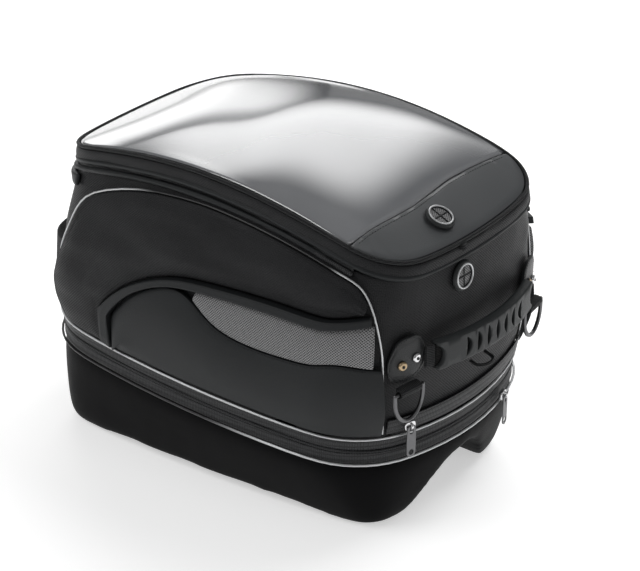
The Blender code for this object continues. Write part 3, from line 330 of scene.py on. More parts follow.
# Painted shade: the handle strap seen through the grip's slots is given a darker colour than the
# other webbing, so the slots read as shaded hollows.
SLOT_SHADE_STRAP = ribbed(
    "inner_strap_painted_shade", (0.0008, 0.0008, 0.0009), (0.003, 0.003, 0.003), 0.0016, 0.0011, 0.0004, 0.8
)
OWN_MATERIAL = {
    "handle_strap": SLOT_SHADE_STRAP,
    "base_zip_coil": ZIP_TAPE,
    "base_zip_tape_lower": ZIP_TAPE,
    "base_zip_tape_upper": ZIP_TAPE,
    "main_zip_tape_lower": ZIP_TAPE,
    "main_zip_tape_upper": ZIP_TAPE,
    "front_zip_tape": ZIP_TAPE,
    "lower_piping": SHADED_LOWER_PIPING,
    "side_piping_left": SIDE_PIPING,
    "side_piping_right": SIDE_PIPING,
}

# ---------------------------------------------------------------- mesh tools
WELD = 0.00001
JOIN_FACE_ANGLE = math.radians(28)
JOIN_SHAPE_ANGLE = math.radians(60)
CREASE_WEIGHT = 0.85


def map_metres(mesh):
    """A UV map in metres, laid flat from the side each face looks towards."""
    layer = mesh.uv_layers.get("metres") or mesh.uv_layers.new(name="metres")
    coords = np.empty(len(mesh.vertices) * 3)
    mesh.vertices.foreach_get("co", coords)
    coords = coords.reshape(-1, 3)
    corner_vertex = np.empty(len(mesh.loops), dtype=np.int32)
    mesh.loops.foreach_get("vertex_index", corner_vertex)
    normals = np.empty(len(mesh.polygons) * 3)
    mesh.polygons.foreach_get("normal", normals)
    counts = np.empty(len(mesh.polygons), dtype=np.int32)
    mesh.polygons.foreach_get("loop_total", counts)
    facing = np.repeat(np.argmax(np.abs(normals.reshape(-1, 3)), axis=1), counts)
    across = np.where(facing == 0, 1, 0)
    up = np.where(facing == 2, 1, 2)
    place = coords[corner_vertex]
    rows = np.arange(len(place))
    uv = np.stack([place[rows, across], place[rows, up]], axis=1)
    layer.data.foreach_set("uv", uv.ravel())


def node_mesh(node, crease):
    """The node's mesh, welded, in quads where it can be, with its corners creased."""
    mesh = bpy.data.meshes.new(node)
    work = bmesh.new()
    work.from_mesh(NODES[node].data)
    bmesh.ops.remove_doubles(work, verts=work.verts, dist=WELD)
    bmesh.ops.dissolve_degenerate(work, edges=work.edges, dist=WELD)
    bmesh.ops.join_triangles(
        work,
        faces=work.faces,
        angle_face_threshold=JOIN_FACE_ANGLE,
        angle_shape_threshold=JOIN_SHAPE_ANGLE,
    )
    bmesh.ops.recalc_face_normals(work, faces=work.faces)
    layer = work.edges.layers.float.new("crease_edge")
    for edge in work.edges:
        if len(edge.link_faces) != 2 or edge.calc_face_angle(0.0) > math.radians(crease):
            edge[layer] = CREASE_WEIGHT
    work.to_mesh(mesh)
    work.free()
    return mesh


def settle(obj):
    """Apply the object's modifiers to its mesh."""
    bpy.context.view_layer.update()
    graph = bpy.context.evaluated_depsgraph_get()
    mesh = bpy.data.meshes.new_from_object(obj.evaluated_get(graph))
    obj.modifiers.clear()
    obj.data = mesh


def finish_piece(obj, node, *more):
    """Smooth it, map it, give it its material and fix it to its node's body."""
    obj.data.shade_smooth()
    map_metres(obj.data)
    obj.data.materials.clear()
    obj.data.materials.append(OWN_MATERIAL.get(node, MATERIALS[SLOT_OF[node]]))
    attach(obj, BODY_OF[node])
    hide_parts(node, *more)
    return obj


def show_piece(name, mesh):
    obj = bpy.data.objects.new(name, mesh)
    bpy.context.scene.collection.objects.link(obj)
    return obj


def rounded(node, suffix, levels=2, crease=CREASE):
    """A smooth copy of the node."""
    obj = show_piece(f"{node}_{suffix}", node_mesh(node, crease))
    surface = obj.modifiers.new("round", "SUBSURF")
    surface.levels = levels
    surface.render_levels = levels
    settle(obj)
    return obj


def move_along_normals(obj, distance):
    """Shift each vertex along its normal by distance(point, normal)."""
    mesh = obj.data
    normals = [v.normal.copy() for v in mesh.vertices]
    for vertex, normal in zip(mesh.vertices, normals):
        vertex.co += normal * distance(vertex.co, normal)
    mesh.update()


def wrinkles(size, depth, stretch=(1.0, 1.0, 1.0), seed=0.0):
    """Folds of a size and depth; stretch makes them longer along an axis."""
    shift = Vector((seed, seed * 1.7, seed * 0.6))

    def height(point, normal):
        place = Vector([p / (size * s) for p, s in zip(point, stretch)]) + shift
        return depth * (noise.noise(place) + 0.5 * noise.noise(place * 2.1))

    return height


# ---------------------------------------------------------------- seams, stitches and padding
PAD_LEVELS = 3
SIM_FRAMES = 20
CLOTH_STIFFNESS = 20
SEAM_HOLD = 2.5 * MM  # the cloth is held still within this distance of a seam
SEAM_BLEND = 4 * MM  # folds fade out within this distance of a seam
FACE_SHARE = 0.25  # a face turned outwards by less than this belongs to the pad's edge or back


def crease_tree(mesh):
    """Points along the mesh's creased edges, for measuring how far a place is from a seam."""
    values = mesh.attributes["crease_edge"].data
    points = []
    for edge, crease in zip(mesh.edges, values):
        if crease.value < 0.5:
            continue
        start, end = (mesh.vertices[i].co for i in edge.vertices)
        count = max(int((end - start).length / MM), 1)
        points += [start.lerp(end, i / count) for i in range(count + 1)]
    tree = KDTree(len(points))
    for index, point in enumerate(points):
        tree.insert(point, index)
    tree.balance()
    return tree


def outwards(side):
    """From 0 to 1, how far a face looks away from the bag's middle."""
    return lambda normal: max(normal.y * side, 0.0)


def vertex_places(obj):
    coords = np.empty(len(obj.data.vertices) * 3)
    obj.data.vertices.foreach_get("co", coords)
    return coords.reshape(-1, 3)


def inflate(obj, pressure, cap):
    """Blow the cloth up from inside, with its sewn vertices held and its travel capped."""
    before = vertex_places(obj)
    cloth = obj.modifiers.new("cloth", "CLOTH")
    cloth.settings.vertex_group_mass = "sewn"
    cloth.settings.use_pressure = True
    cloth.settings.uniform_pressure_force = pressure
    cloth.settings.tension_stiffness = CLOTH_STIFFNESS
    cloth.settings.compression_stiffness = CLOTH_STIFFNESS
    cloth.settings.effector_weights.gravity = 0.0
    cloth.point_cache.frame_end = SIM_FRAMES
    for step in range(1, SIM_FRAMES + 1):
        bpy.context.scene.frame_set(step)
    settle(obj)
    bpy.context.scene.frame_set(1)
    travel = vertex_places(obj) - before
    length = np.linalg.norm(travel, axis=1, keepdims=True)
    travel *= np.minimum(1.0, cap / np.maximum(length, 1e-9))
    obj.data.vertices.foreach_set("co", (before + travel).ravel())
    obj.data.update()


def sewn_pad(node, side, pressure, cap, relief):
    """A padded panel: blown up as cloth between its sewn edges, then given its folds."""
    base = node_mesh(node, CREASE)
    seams = crease_tree(base)
    obj = show_piece(f"{node}_pad", base)
    surface = obj.modifiers.new("round", "SUBSURF")
    surface.levels = PAD_LEVELS
    surface.render_levels = PAD_LEVELS
    settle(obj)
    facing = outwards(side)
    pinned = [
        vertex.index
        for vertex in obj.data.vertices
        if facing(vertex.normal) < FACE_SHARE or seams.find(vertex.co)[2] < SEAM_HOLD
    ]
    group = obj.vertex_groups.new(name="sewn")
    group.add(pinned, 1.0, "REPLACE")
    inflate(obj, pressure, cap)

    def shape(point, normal):
        if facing(normal) < FACE_SHARE:
            return 0.0
        gap = seams.find(point)[2]
        return relief(point, gap) * min(gap / SEAM_BLEND, 1.0)

    move_along_normals(obj, shape)
    return obj


def groove(gap, place, width, depth):
    """Depth of a sewn line that is pressed in at a place, a distance from the edge."""
    return -depth * math.exp(-(((gap - place) / width) ** 2))


def dress(obj, body, slot):
    """Smooth an added piece, map it, and give it the material of its slot and its body."""
    obj.data.shade_smooth()
    map_metres(obj.data)
    obj.data.materials.clear()
    obj.data.materials.append(MATERIALS[slot])
    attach(obj, body)
    return obj


def close_piece(name, work, body, slot):
    """Turn the working mesh into a dressed piece."""
    bmesh.ops.recalc_face_normals(work, faces=work.faces)
    mesh = bpy.data.meshes.new(name)
    work.to_mesh(mesh)
    work.free()
    return dress(show_piece(name, mesh), body, slot)


def stitch_row(
    name, body, points, normals, slot, pitch=3.4 * MM, length=2.2 * MM, radius=0.35 * MM
):
    """Thread along a path: one small rounded stitch for each pitch."""
    work = bmesh.new()
    travelled = 0.0
    next_stitch = 0.0
    for index in range(len(points) - 1):
        start, end = points[index], points[index + 1]
        step = (end - start).length
        while next_stitch < travelled + step:
            share = (next_stitch - travelled) / step
            middle = start.lerp(end, share)
            along = (end - start).normalized()
            out = normals[index].lerp(normals[index + 1], share).normalized()
            across = out.cross(along).normalized()
            matrix = Matrix((along * length, across * radius * 2, out * radius * 2))
            matrix = matrix.transposed().to_4x4()
            matrix.translation = middle + out * radius * 0.3
            bmesh.ops.create_icosphere(work, subdivisions=1, radius=0.5, matrix=matrix)
            next_stitch += pitch
        travelled += step
    return close_piece(name, work, body, slot)


OUTSIDE = 0.3  # a distance from the bag's middle plane that is clear of the bag
ABOVE = 0.4  # a height that is clear of the bag
DOWN = Vector((0.0, 0.0, -1.0))


def surface_tree(obj):
    return BVHTree.FromPolygons(
        [v.co for v in obj.data.vertices], [tuple(p.vertices) for p in obj.data.polygons]
    )


def dropped(tree, places, direction):
    """Points and normals where rays from the places along a direction meet the surface."""
    points, normals = [], []
    for place in places:
        hit, normal, _, _ = tree.ray_cast(Vector(place), Vector(direction))
        if hit is not None:
            points.append(hit)
            normals.append(normal)
    return points, normals


def node_points(node):
    return vertex_places(NODES[node])


def lower_edge(node, side, count=60):
    """The bottom edge of a side piece, as (x, z) pairs from rear to front."""
    tree = surface_tree(NODES[node])
    low, high = (Vector(corner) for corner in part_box(node))
    inwards = Vector((0.0, -side, 0.0))
    edge = []
    for x in np.linspace(low.x + 3 * MM, high.x - 2 * MM, count):
        z = low.z
        while z < high.z and tree.ray_cast(Vector((x, side * OUTSIDE, z)), inwards)[0] is None:
            z += 0.5 * MM
        edge.append((x, z))
    padded = np.pad([z for _, z in edge], 2, mode="edge")
    heights = np.convolve(padded, np.ones(5) / 5, mode="valid")
    return [(x, z) for (x, _), z in zip(edge, heights)]


def tuck_in(obj, side, distance, run=45 * MM):
    """Draw the front end of a side piece in towards the bag's middle."""
    for vertex in obj.data.vertices:
        share = max(1 - (POD_FRONT - vertex.co.x) / run, 0.0)
        vertex.co.y -= side * distance * share * share


def reach_forward(obj, distance, run=12 * MM):
    """Stretch a piece's front end forward, to meet the piping beside it."""
    front = max(v.co.x for v in obj.data.vertices)
    for vertex in obj.data.vertices:
        share = max(1 - (front - vertex.co.x) / run, 0.0)
        vertex.co.x += distance * share


# ---------------------------------------------------------------- side pods and anchor patches
POD_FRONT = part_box("side_piping_left")[1][0]
POD_TUCK = {"left": 4.5 * MM, "right": 1.0 * MM}
WELT_THINNING = 0.7 * MM
FRONT_REACH = 3.0 * MM  # the pocket and its mesh reach forward to the piping
STITCH_INSET = 2.6 * MM
SIDES = {"left": 1, "right": -1}


def add_pod(side_name, side):
    """The padded panel, the pocket with its welt, mesh insert and stitches."""
    panel = f"side_panel_{side_name}"
    folds = wrinkles(0.050, 0.0021, (1.8, 1.0, 0.6), 3.0)

    def panel_relief(point, gap):
        return folds(point, None) + groove(gap, 5.5 * MM, 1.2 * MM, 0.5 * MM)

    pod = sewn_pad(panel, side, 2.5, 3.5 * MM, panel_relief)
    finish_piece(pod, panel)

    pocket = f"side_pocket_{side_name}"
    soft = wrinkles(0.07, 0.0007, (1.6, 1.0, 0.8), 12.0)
    pouch = sewn_pad(pocket, side, 2.0, 2.0 * MM, lambda point, gap: soft(point, None))
    finish_piece(pouch, pocket)
    seam = lower_edge(f"pocket_mesh_{side_name}", side)
    places = [(x, side * OUTSIDE, z - STITCH_INSET) for x, z in seam]
    points, normals = dropped(surface_tree(pouch), places, (0.0, -side, 0.0))
    stitch_row(f"pocket_stitches_{side_name}", "bag", points, normals, "webbing")

    welt_piece = f"pocket_welt_{side_name}"
    welt = rounded(welt_piece, "roll")
    move_along_normals(welt, lambda point, normal: -WELT_THINNING)
    finish_piece(welt, welt_piece)

    mesh_piece = f"pocket_mesh_{side_name}"
    net = rounded(mesh_piece, "net")
    for piece in (net, pouch):
        reach_forward(piece, FRONT_REACH)
    for piece in (net, pouch, welt, pod):
        tuck_in(piece, side, POD_TUCK[side_name])
    finish_piece(net, mesh_piece)


def add_patch(side_name):
    """The leather anchor patch, crowned inside a sewn line."""
    patch = f"anchor_patch_{side_name}"
    seams = crease_tree(node_mesh(patch, CREASE))
    leather = rounded(patch, "leather", 3)

    def crown(point, normal):
        sewn = groove(seams.find(point)[2], 2.4 * MM, 0.7 * MM, 0.9 * MM)
        return (0.5 * MM + sewn) * max(normal.x, 0.0)

    move_along_normals(leather, crown)
    finish_piece(leather, patch)


for pod_side, pod_sign in SIDES.items():
    add_pod(pod_side, pod_sign)
    add_patch(pod_side)

# ---------------------------------------------------------------- shell and rim
CORNER_PLACE = Vector((0.165, 0.095, 0.215))
CORNER_REACH = 0.028
CORNER_HEIGHT = 0.022
RIM_SWELL = 1.6 * MM


def near_corner(point):
    """1 at the bag's upper front corners, where spare cloth gathers, fading to 0 away from them."""
    reach = math.hypot(point.x - CORNER_PLACE.x, abs(point.y) - CORNER_PLACE.y)
    drop = abs(point.z - CORNER_PLACE.z)
    return math.exp(-((reach / CORNER_REACH) ** 2) - (drop / CORNER_HEIGHT) ** 2)


def add_shell():
    """The bag's wall, softly folded, with deeper folds at its upper front corners."""
    shell = rounded("bag_shell", "cloth")
    folds = wrinkles(0.045, 0.0010, (1.0, 1.0, 0.8), 8.0)
    corner_folds = wrinkles(0.022, 0.0026, (1.0, 1.0, 2.2), 4.0)

    def shape(point, normal):
        return folds(point, normal) + corner_folds(point, normal) * near_corner(point)

    move_along_normals(shell, shape)
    finish_piece(shell, "bag_shell")


def add_rim():
    """The lid's padded rim, which swells between its two sewn edges."""
    rim = rounded("lid_rim", "cloth", 3)
    folds = wrinkles(0.03, 0.0009, (1.5, 1.5, 0.8), 1.0)
    seams = crease_tree(node_mesh("lid_rim", CREASE))

    def shape(point, normal):
        gap = seams.find(point)[2]
        swell = RIM_SWELL * (1 - math.exp(-gap / (2.0 * MM)))
        return (swell + folds(point, normal)) * (1.0 - abs(normal.z))

    move_along_normals(rim, shape)
    finish_piece(rim, "lid_rim")


add_shell()
add_rim()

# ---------------------------------------------------------------- map window
FILM_EDGE = 12 * MM  # the waves fade out within this distance of the film's edge
FILM_THICKNESS = 1.2 * MM
FILM_RINGS = 40
FILM_SPOKES = 240
WAVE_LENGTH = 0.125
WAVE_DEPTH = 0.9 * MM
SLACK_DEPTH = 1.6 * MM
SLACK_MIDDLE_X = -0.015
SLACK_HALF_LENGTH = 0.165
SLACK_HALF_WIDTH = 0.108


def surface_terms(x, y):
    """The powers of x and y that the lid's smooth arch is fitted with, in decimetres."""
    along, across = x / 0.1, (y / 0.1) ** 2
    return [along**i * across**j for i in range(5) for j in range(3)]


def fit_arch(node):
    """Factors of the smooth arch through the node's upper points."""
    points = node_points(node)
    top = []
    for point in points:
        over = points[np.hypot(points[:, 0] - point[0], points[:, 1] - point[1]) < MM]
        if point[2] > over[:, 2].max() - 0.3 * MM:
            top.append(point)
    rows = np.array([surface_terms(x, y) for x, y, _ in top])
    return np.linalg.lstsq(rows, np.array(top)[:, 2], rcond=None)[0]


def film_waves(x, y):
    """Broad slack waves in the clear film, none where it is sewn."""
    lengthwise = max(1 - ((x - SLACK_MIDDLE_X) / SLACK_HALF_LENGTH) ** 4, 0.0)
    crosswise = max(1 - (y / SLACK_HALF_WIDTH) ** 4, 0.0)
    wave = math.sin((x + 0.35 * y) * 2 * math.pi / WAVE_LENGTH + 0.6)
    slack = noise.noise(Vector((x / 0.13 + 2.0, y / 0.10, 0.3)))
    return (WAVE_DEPTH * wave + SLACK_DEPTH * slack) * lengthwise * crosswise


def film_outline(tree, centre):
    """How far the window reaches from its centre, for each spoke."""
    reaches = []
    for i in range(FILM_SPOKES):
        angle = 2 * math.pi * i / FILM_SPOKES
        inside, outside = 0.0, OUTSIDE
        while outside - inside > 0.05 * MM:
            middle = (inside + outside) / 2
            x = centre.x + middle * math.cos(angle)
            y = centre.y + middle * math.sin(angle)
            if tree.ray_cast(Vector((x, y, ABOVE)), DOWN)[0] is None:
                outside = middle
            else:
                inside = middle
        reaches.append(inside)
    return reaches


def film_level(x, y, arch):
    return float(np.dot(surface_terms(x, y), arch))


def film_face(work, centre, reaches, arch, drop):
    """One face of the film, in rings and spokes on the fitted arch; returns its outer ring."""
    rings = []
    for ring in range(1, FILM_RINGS + 1):
        share = ring / FILM_RINGS
        row = []
        for i, reach in enumerate(reaches):
            angle = 2 * math.pi * i / FILM_SPOKES
            x = centre.x + reach * share * math.cos(angle)
            y = centre.y + reach * share * math.sin(angle)
            held = min(reach * (1 - share) / FILM_EDGE, 1.0)
            wave = film_waves(x, y) * held * held * (3 - 2 * held)
            row.append(work.verts.new((x, y, film_level(x, y, arch) + wave - drop)))
        rings.append(row)
    height = film_level(centre.x, centre.y, arch) + film_waves(centre.x, centre.y) - drop
    hub = work.verts.new((centre.x, centre.y, height))
    for i in range(FILM_SPOKES):
        work.faces.new((hub, rings[0][i], rings[0][(i + 1) % FILM_SPOKES]))
    for near, far in zip(rings, rings[1:]):
        join_rings(work, near, far)
    return rings[-1]


def join_rings(work, first, second):
    for i in range(len(first)):
        j = (i + 1) % len(first)
        work.faces.new((first[i], second[i], second[j], first[j]))


def add_window():
    """The clear film: a thin closed sheet, sewn down at its edge."""
    low, high = (Vector(corner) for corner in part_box("map_window"))
    centre = (low + high) / 2
    reaches = film_outline(surface_tree(NODES["map_window"]), centre)
    arch = fit_arch("map_window")
    work = bmesh.new()
    upper = film_face(work, centre, reaches, arch, 0.0)
    lower = film_face(work, centre, reaches, arch, FILM_THICKNESS)
    join_rings(work, upper, lower)
    bmesh.ops.recalc_face_normals(work, faces=work.faces)
    mesh = bpy.data.meshes.new("map_window_film")
    work.to_mesh(mesh)
    work.free()
    window = show_piece("map_window_film", mesh)
    finish_piece(window, "map_window")


add_window()

# ---------------------------------------------------------------- pipings, tapes and hems
PIPING_THINNING = 0.55 * MM
HEM_GROWTH = 0.7 * MM
SINK_RUN = 0.03
SINK_DEPTH = 8 * MM
LAYER_GROWTH = {
    "main_zip_tape_lower": 0.9 * MM,
    "main_zip_tape_upper": 0.4 * MM,
    "rear_rain_flap": 1.2 * MM,
}


def add_piping(name, side_name=None):
    """A thin piping; a side's piping follows the tucked front end of its pod."""
    piping = rounded(name, "piping", 1)
    move_along_normals(piping, lambda point, normal: -PIPING_THINNING)
    if side_name:
        tuck_in(piping, SIDES[side_name], POD_TUCK[side_name])
    finish_piece(piping, name)


add_piping("lower_piping")
add_piping("upper_piping")
for pod_side in SIDES:
    add_piping(f"side_piping_{pod_side}", pod_side)

def add_layer(name, growth):
    """A zip tape or flap, thickened and softly folded."""
    layer = rounded(name, "cloth")
    folds = wrinkles(0.02, 0.0005, (1.5, 1.5, 0.6), 6.0)
    move_along_normals(layer, lambda point, normal: growth + folds(point, normal))
    finish_piece(layer, name)


for layer_name, layer_growth in LAYER_GROWTH.items():
    add_layer(layer_name, layer_growth)


def add_hem(name, drop, spread, body, sink=None):
    """A soft roll that follows the lid's binding lower down, and sinks in past the x of sink."""
    hem = rounded("lid_binding", name)
    hem.name = name
    folds = wrinkles(0.025, 0.0007, (1.5, 1.5, 1.0), 9.0)
    move_along_normals(hem, lambda point, normal: HEM_GROWTH + folds(point, normal))
    for vertex in hem.data.vertices:
        length = math.hypot(vertex.co.x, vertex.co.y)
        sunk = 0.0
        if sink is not None:
            sunk = min(max((vertex.co.x - sink) / SINK_RUN, 0.0), 1.0)
        out = spread - sunk * SINK_DEPTH
        vertex.co.x *= 1 + out / length
        vertex.co.y *= 1 + out / length
        vertex.co.z -= drop
    dress(hem, body, "smooth_fabric")


add_hem("rim_hem", 13.0 * MM, 0.6 * MM, "lid")
add_hem("zip_hem", 20.0 * MM, 2.2 * MM, "bag", 0.115)

# ---------------------------------------------------------------- saddle and the remaining pieces
SADDLE_CREASE = 60.0
SADDLE_VOXEL = 2.5 * MM
SADDLE_SMOOTHING = 14


def add_saddle():
    """The moulded base, with its edges rounded off as moulded foam is."""
    base = rounded("saddle_base", "foam", 1, SADDLE_CREASE)
    remesh = base.modifiers.new("remesh", "REMESH")
    remesh.mode = "VOXEL"
    remesh.voxel_size = SADDLE_VOXEL
    relax = base.modifiers.new("relax", "SMOOTH")
    relax.iterations = SADDLE_SMOOTHING
    settle(base)
    finish_piece(base, "saddle_base")


add_saddle()
for node_name, node_object in NODES.items():
    if not node_object.hide_render:
        finish_piece(rounded(node_name, "part"), node_name)

# ---------------------------------------------------------------- sewn lines
OUTLINE_STEPS = 73
OUTLINE_ARC = 0.35  # the outline is looked up this far to each side of a step, in radians
OUTLINE_LIFT = 0.03  # a distance from the patch that is clear of it


def ring_of_stitches(name, piece, node, body, inset, slot):
    """Stitches round a small patch, a fixed distance inside its outline."""
    points = node_points(node)
    centre = points.mean(axis=0)
    _, _, axes = np.linalg.svd(points - centre)
    out = axes[2] * np.sign(axes[2][0])
    flat = np.stack([(points - centre) @ axes[0], (points - centre) @ axes[1]], axis=1)
    angles = np.arctan2(flat[:, 1], flat[:, 0])
    reach = np.hypot(flat[:, 0], flat[:, 1])
    places = []
    for angle in np.linspace(0, 2 * math.pi, OUTLINE_STEPS):
        apart = np.abs((angles - angle + math.pi) % (2 * math.pi) - math.pi)
        sewn_reach = reach[apart < OUTLINE_ARC].max() - inset
        spoke = axes[0] * math.cos(angle) + axes[1] * math.sin(angle)
        places.append(centre + spoke * sewn_reach + out * OUTLINE_LIFT)
    hits, normals = dropped(surface_tree(piece), places, -out)
    return stitch_row(
        name, body, hits, normals, slot, pitch=2.6 * MM, length=1.7 * MM, radius=0.3 * MM
    )


def add_vinyl_stitches():
    """Stitches beside the seam between the vinyl front and the map window."""
    tree = surface_tree(bpy.data.objects["lid_vinyl_front_part"])
    low, high = (Vector(corner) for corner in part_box("lid_vinyl_front"))
    places = []
    for y in np.linspace(low.y + 8 * MM, high.y - 8 * MM, 60):
        x = low.x
        while x < high.x and tree.ray_cast(Vector((x, y, ABOVE)), DOWN)[0] is None:
            x += 0.5 * MM
        places.append((x + 2.5 * MM, y, ABOVE))
    hits, normals = dropped(tree, places, DOWN)
    stitch_row("vinyl_stitches", "lid", hits, normals, "webbing")


for pod_side in SIDES:
    patch_node = f"anchor_patch_{pod_side}"
    patch_piece = bpy.data.objects[f"{patch_node}_leather"]
    stitches = f"patch_stitches_{pod_side}"
    ring_of_stitches(stitches, patch_piece, patch_node, "bag", 2.6 * MM, "webbing")
add_vinyl_stitches()

# ---------------------------------------------------------------- cable ports
HOLE_RADIUS = 1.3 * MM
HOLE_LIFT = 1.35 * MM
RING_RADIUS = 10.2 * MM
RING_WIRE = 0.75 * MM
RING_LIFT = 2.0 * MM
SLIT_REACH = 9.2 * MM
SLIT_LIFT = 1.0 * MM


def port_frame(node):
    """The centre of a port's face and its outward direction."""
    points = node_points(node)
    centre = points.mean(axis=0)
    _, _, axes = np.linalg.svd(points - centre)
    normal = Vector(axes[2])
    if normal.dot(Vector((1.0, 0.0, 1.0))) < 0:
        normal.negate()
    return Vector(centre), normal


def port_matrix(centre, normal, lift):
    matrix = normal.to_track_quat("Z", "Y").to_matrix().to_4x4()
    matrix.translation = centre + normal * lift
    return matrix


def add_ring(name, matrix, radius, thickness, body, slot):
    """A round wire ring."""
    work = bmesh.new()
    turns, sides = 48, 10
    rows = []
    for i in range(turns):
        angle = 2 * math.pi * i / turns
        row = []
        for j in range(sides):
            lean = 2 * math.pi * j / sides
            reach = radius + thickness * math.cos(lean)
            point = (reach * math.cos(angle), reach * math.sin(angle), thickness * math.sin(lean))
            row.append(work.verts.new(matrix @ Vector(point)))
        rows.append(row)
    for row, after in zip(rows, rows[1:] + rows[:1]):
        join_rings(work, row, after)
    return close_piece(name, work, body, slot)


def add_slits(name, matrix, reach, body):
    """A cross of two raised ribs over the membrane."""
    work = bmesh.new()
    for turn in (0.0, 90.0):
        shape = Matrix.Diagonal((reach * 2, 0.9 * MM, 0.7 * MM, 1.0))
        shape = Matrix.Rotation(math.radians(turn), 4, "Z") @ shape
        bmesh.ops.create_cube(work, size=1.0, matrix=matrix @ shape)
    bmesh.ops.bevel(work, geom=work.edges[:], offset=0.2 * MM, segments=2, affect="EDGES")
    return close_piece(name, work, body, "rubber")


def add_disc(name, matrix, radius, body, slot):
    """A thin round disc with a bevelled edge; on the rivets, painted shade for the hollow of each
    hole.
    """
    work = bmesh.new()
    bmesh.ops.create_cone(
        work,
        cap_ends=True,
        segments=20,
        radius1=radius,
        radius2=radius * 0.8,
        depth=0.5 * MM,
        matrix=matrix,
    )
    return close_piece(name, work, body, slot)


TAB_PLACE = (0.4, -0.023, 0.247)  # level with the tab, clear of the bag's front


def add_rim_tab():
    """Short folded tab of tape sewn into the lid's front edge, beside the port."""
    rim_tree = surface_tree(bpy.data.objects["lid_rim_cloth"])
    hits, normals = dropped(rim_tree, [TAB_PLACE], (-1.0, 0.0, 0.0))
    matrix = port_matrix(hits[0], normals[0], 1.0 * MM)
    work = bmesh.new()
    shape = Matrix.Diagonal((8 * MM, 7 * MM, 2.6 * MM, 1.0))
    bmesh.ops.create_cube(work, size=1.0, matrix=matrix @ shape)
    bmesh.ops.bevel(work, geom=work.edges[:], offset=1.0 * MM, segments=3, affect="EDGES")
    return close_piece("rim_tab", work, "lid", "webbing")


add_rim_tab()
for pod_side in SIDES:
    for number in (1, 2):
        rivet = f"patch_rivet_{pod_side}_{number}"
        hole = port_matrix(*port_frame(rivet), HOLE_LIFT)
        # Painted shade: a dark rubber disc on each rivet stands in for the shaded hollow of its
        # hole.
        add_disc(f"{rivet}_hole", hole, HOLE_RADIUS, "bag", "rubber")

for port, body in (("front_port", "bag"), ("lid_port", "lid")):
    centre, normal = port_frame(f"{port}_membrane")
    face = port_matrix(centre, normal, RING_LIFT)
    add_ring(f"{port}_ring", face, RING_RADIUS, RING_WIRE, body, "reflective")
    add_slits(f"{port}_slits", port_matrix(centre, normal, SLIT_LIFT), SLIT_REACH, body)

# ---------------------------------------------------------------- studio
AZIMUTH = math.radians(37.11)
ELEVATION = math.radians(27.74)
ROLL = math.radians(0.37)
DISTANCE = 2.1715
TARGET = Vector((0.0155, 0.0299, 0.1302))
LENS = 139.84


def camera_axes():
    back = Vector(
        (
            math.sin(AZIMUTH) * math.cos(ELEVATION),
            -math.cos(AZIMUTH) * math.cos(ELEVATION),
            math.sin(ELEVATION),
        )
    )
    right = Vector((math.cos(AZIMUTH), math.sin(AZIMUTH), 0.0))
    up = back.cross(right)
    turned_right = right * math.cos(ROLL) + up * math.sin(ROLL)
    turned_up = up * math.cos(ROLL) - right * math.sin(ROLL)
    return turned_right, turned_up, back


def add_camera():
    right, up, back = camera_axes()
    data = bpy.data.cameras.new("camera")
    data.lens = LENS
    data.sensor_width = 36.0
    camera = bpy.data.objects.new("camera", data)
    bpy.context.scene.collection.objects.link(camera)
    matrix = Matrix((right, up, back)).transposed().to_4x4()
    matrix.translation = TARGET + back * DISTANCE
    camera.matrix_world = matrix
    bpy.context.scene.camera = camera


def add_sheet_mesh(name, size):
    """A flat square, reaching this size each way from its middle."""
    mesh = bpy.data.meshes.new(name)
    work = bmesh.new()
    bmesh.ops.create_grid(work, x_segments=2, y_segments=2, size=size)
    work.to_mesh(mesh)
    work.free()
    return show_piece(name, mesh)


def add_softbox(name, direction, distance, width, height, power):
    """An area light that looks at the bag from a direction."""
    data = bpy.data.lights.new(name, "AREA")
    data.shape = "RECTANGLE"
    data.size = width
    data.size_y = height
    data.energy = power
    light = bpy.data.objects.new(name, data)
    bpy.context.scene.collection.objects.link(light)
    place = Vector(direction).normalized() * distance
    light.location = TARGET + place
    light.rotation_euler = place.to_track_quat("Z", "Y").to_euler()
    return light


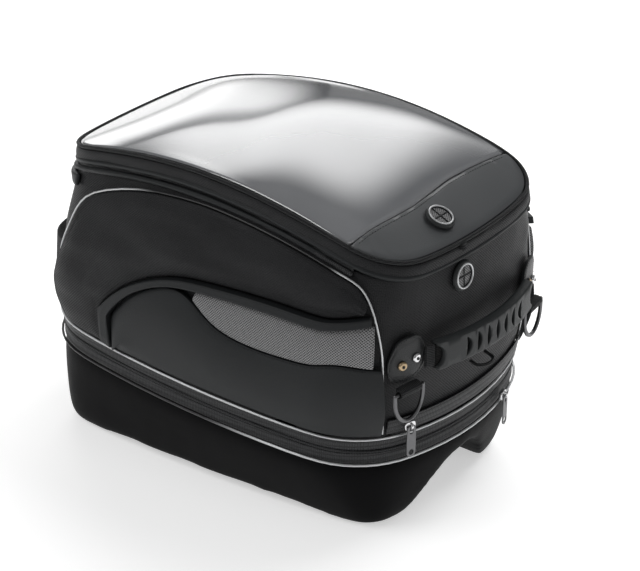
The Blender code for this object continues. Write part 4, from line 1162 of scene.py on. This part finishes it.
def add_card(name, direction, distance, width, height, strength):
    """A large glowing card that looks at the bag, brightest at its middle and dark at its edges."""
    card = add_sheet_mesh(name, 0.5)
    place = Vector(direction).normalized() * distance
    card.location = TARGET + place
    card.rotation_euler = place.to_track_quat("Z", "Y").to_euler()
    card.scale = (width, height, 1.0)
    material, shader = new_material(name, (0.0, 0.0, 0.0), 1.0, specular=0.0)
    texture = add_node(material, "ShaderNodeTexCoord")
    split = add_node(material, "ShaderNodeSeparateXYZ")
    wire(material, texture.outputs["Object"], split.inputs[0])
    glow = strength
    for axis in (0, 1):
        edge = maths(material, "ABSOLUTE", split.outputs[axis])
        fade = add_node(material, "ShaderNodeMapRange", interpolation_type="SMOOTHSTEP")
        fade.inputs["From Min"].default_value = 0.5
        fade.inputs["From Max"].default_value = 0.14
        wire(material, edge, fade.inputs["Value"])
        glow = maths(material, "MULTIPLY", fade.outputs[0], glow)
    shader.inputs["Emission Color"].default_value = (1.0, 1.0, 1.0, 1.0)
    wire(material, glow, shader.inputs["Emission Strength"])
    card.data.materials.append(material)
    card.visible_camera = False


def add_floor():
    floor = add_sheet_mesh("floor", 6.0)
    floor.location.z = -0.0005
    material, shader = new_material("floor_paper", (0.85, 0.85, 0.85), 0.8, specular=0.1)
    shader.inputs["Emission Color"].default_value = (1.0, 1.0, 1.0, 1.0)
    shader.inputs["Emission Strength"].default_value = 0.50
    floor.data.materials.append(material)


def add_world():
    world = bpy.data.worlds.new("studio")
    world.use_nodes = True
    background = world.node_tree.nodes["Background"]
    background.inputs[0].default_value = (1.0, 1.0, 1.0, 1.0)
    background.inputs[1].default_value = 0.22
    bpy.context.scene.world = world
    bpy.context.scene.view_settings.view_transform = "Standard"


add_camera()
add_floor()
add_world()
add_card("back_card", (-0.53, 0.70, 0.62), 3.4, 3.4, 2.8, 3.3)
add_card("low_card", (-0.80, 0.60, 0.17), 3.4, 2.2, 1.7, 2.6)
add_softbox("key_light", (-0.7, -1.0, 1.2), 3.2, 1.5, 1.5, 26.0)
add_softbox("front_light", (1.3, -0.3, 1.0), 3.2, 1.2, 1.2, 5.0)
top_light = add_softbox("top_light", (0.25, 0.7, 1.2), 3.0, 1.6, 1.6, 40.0)
top_light.visible_glossy = False
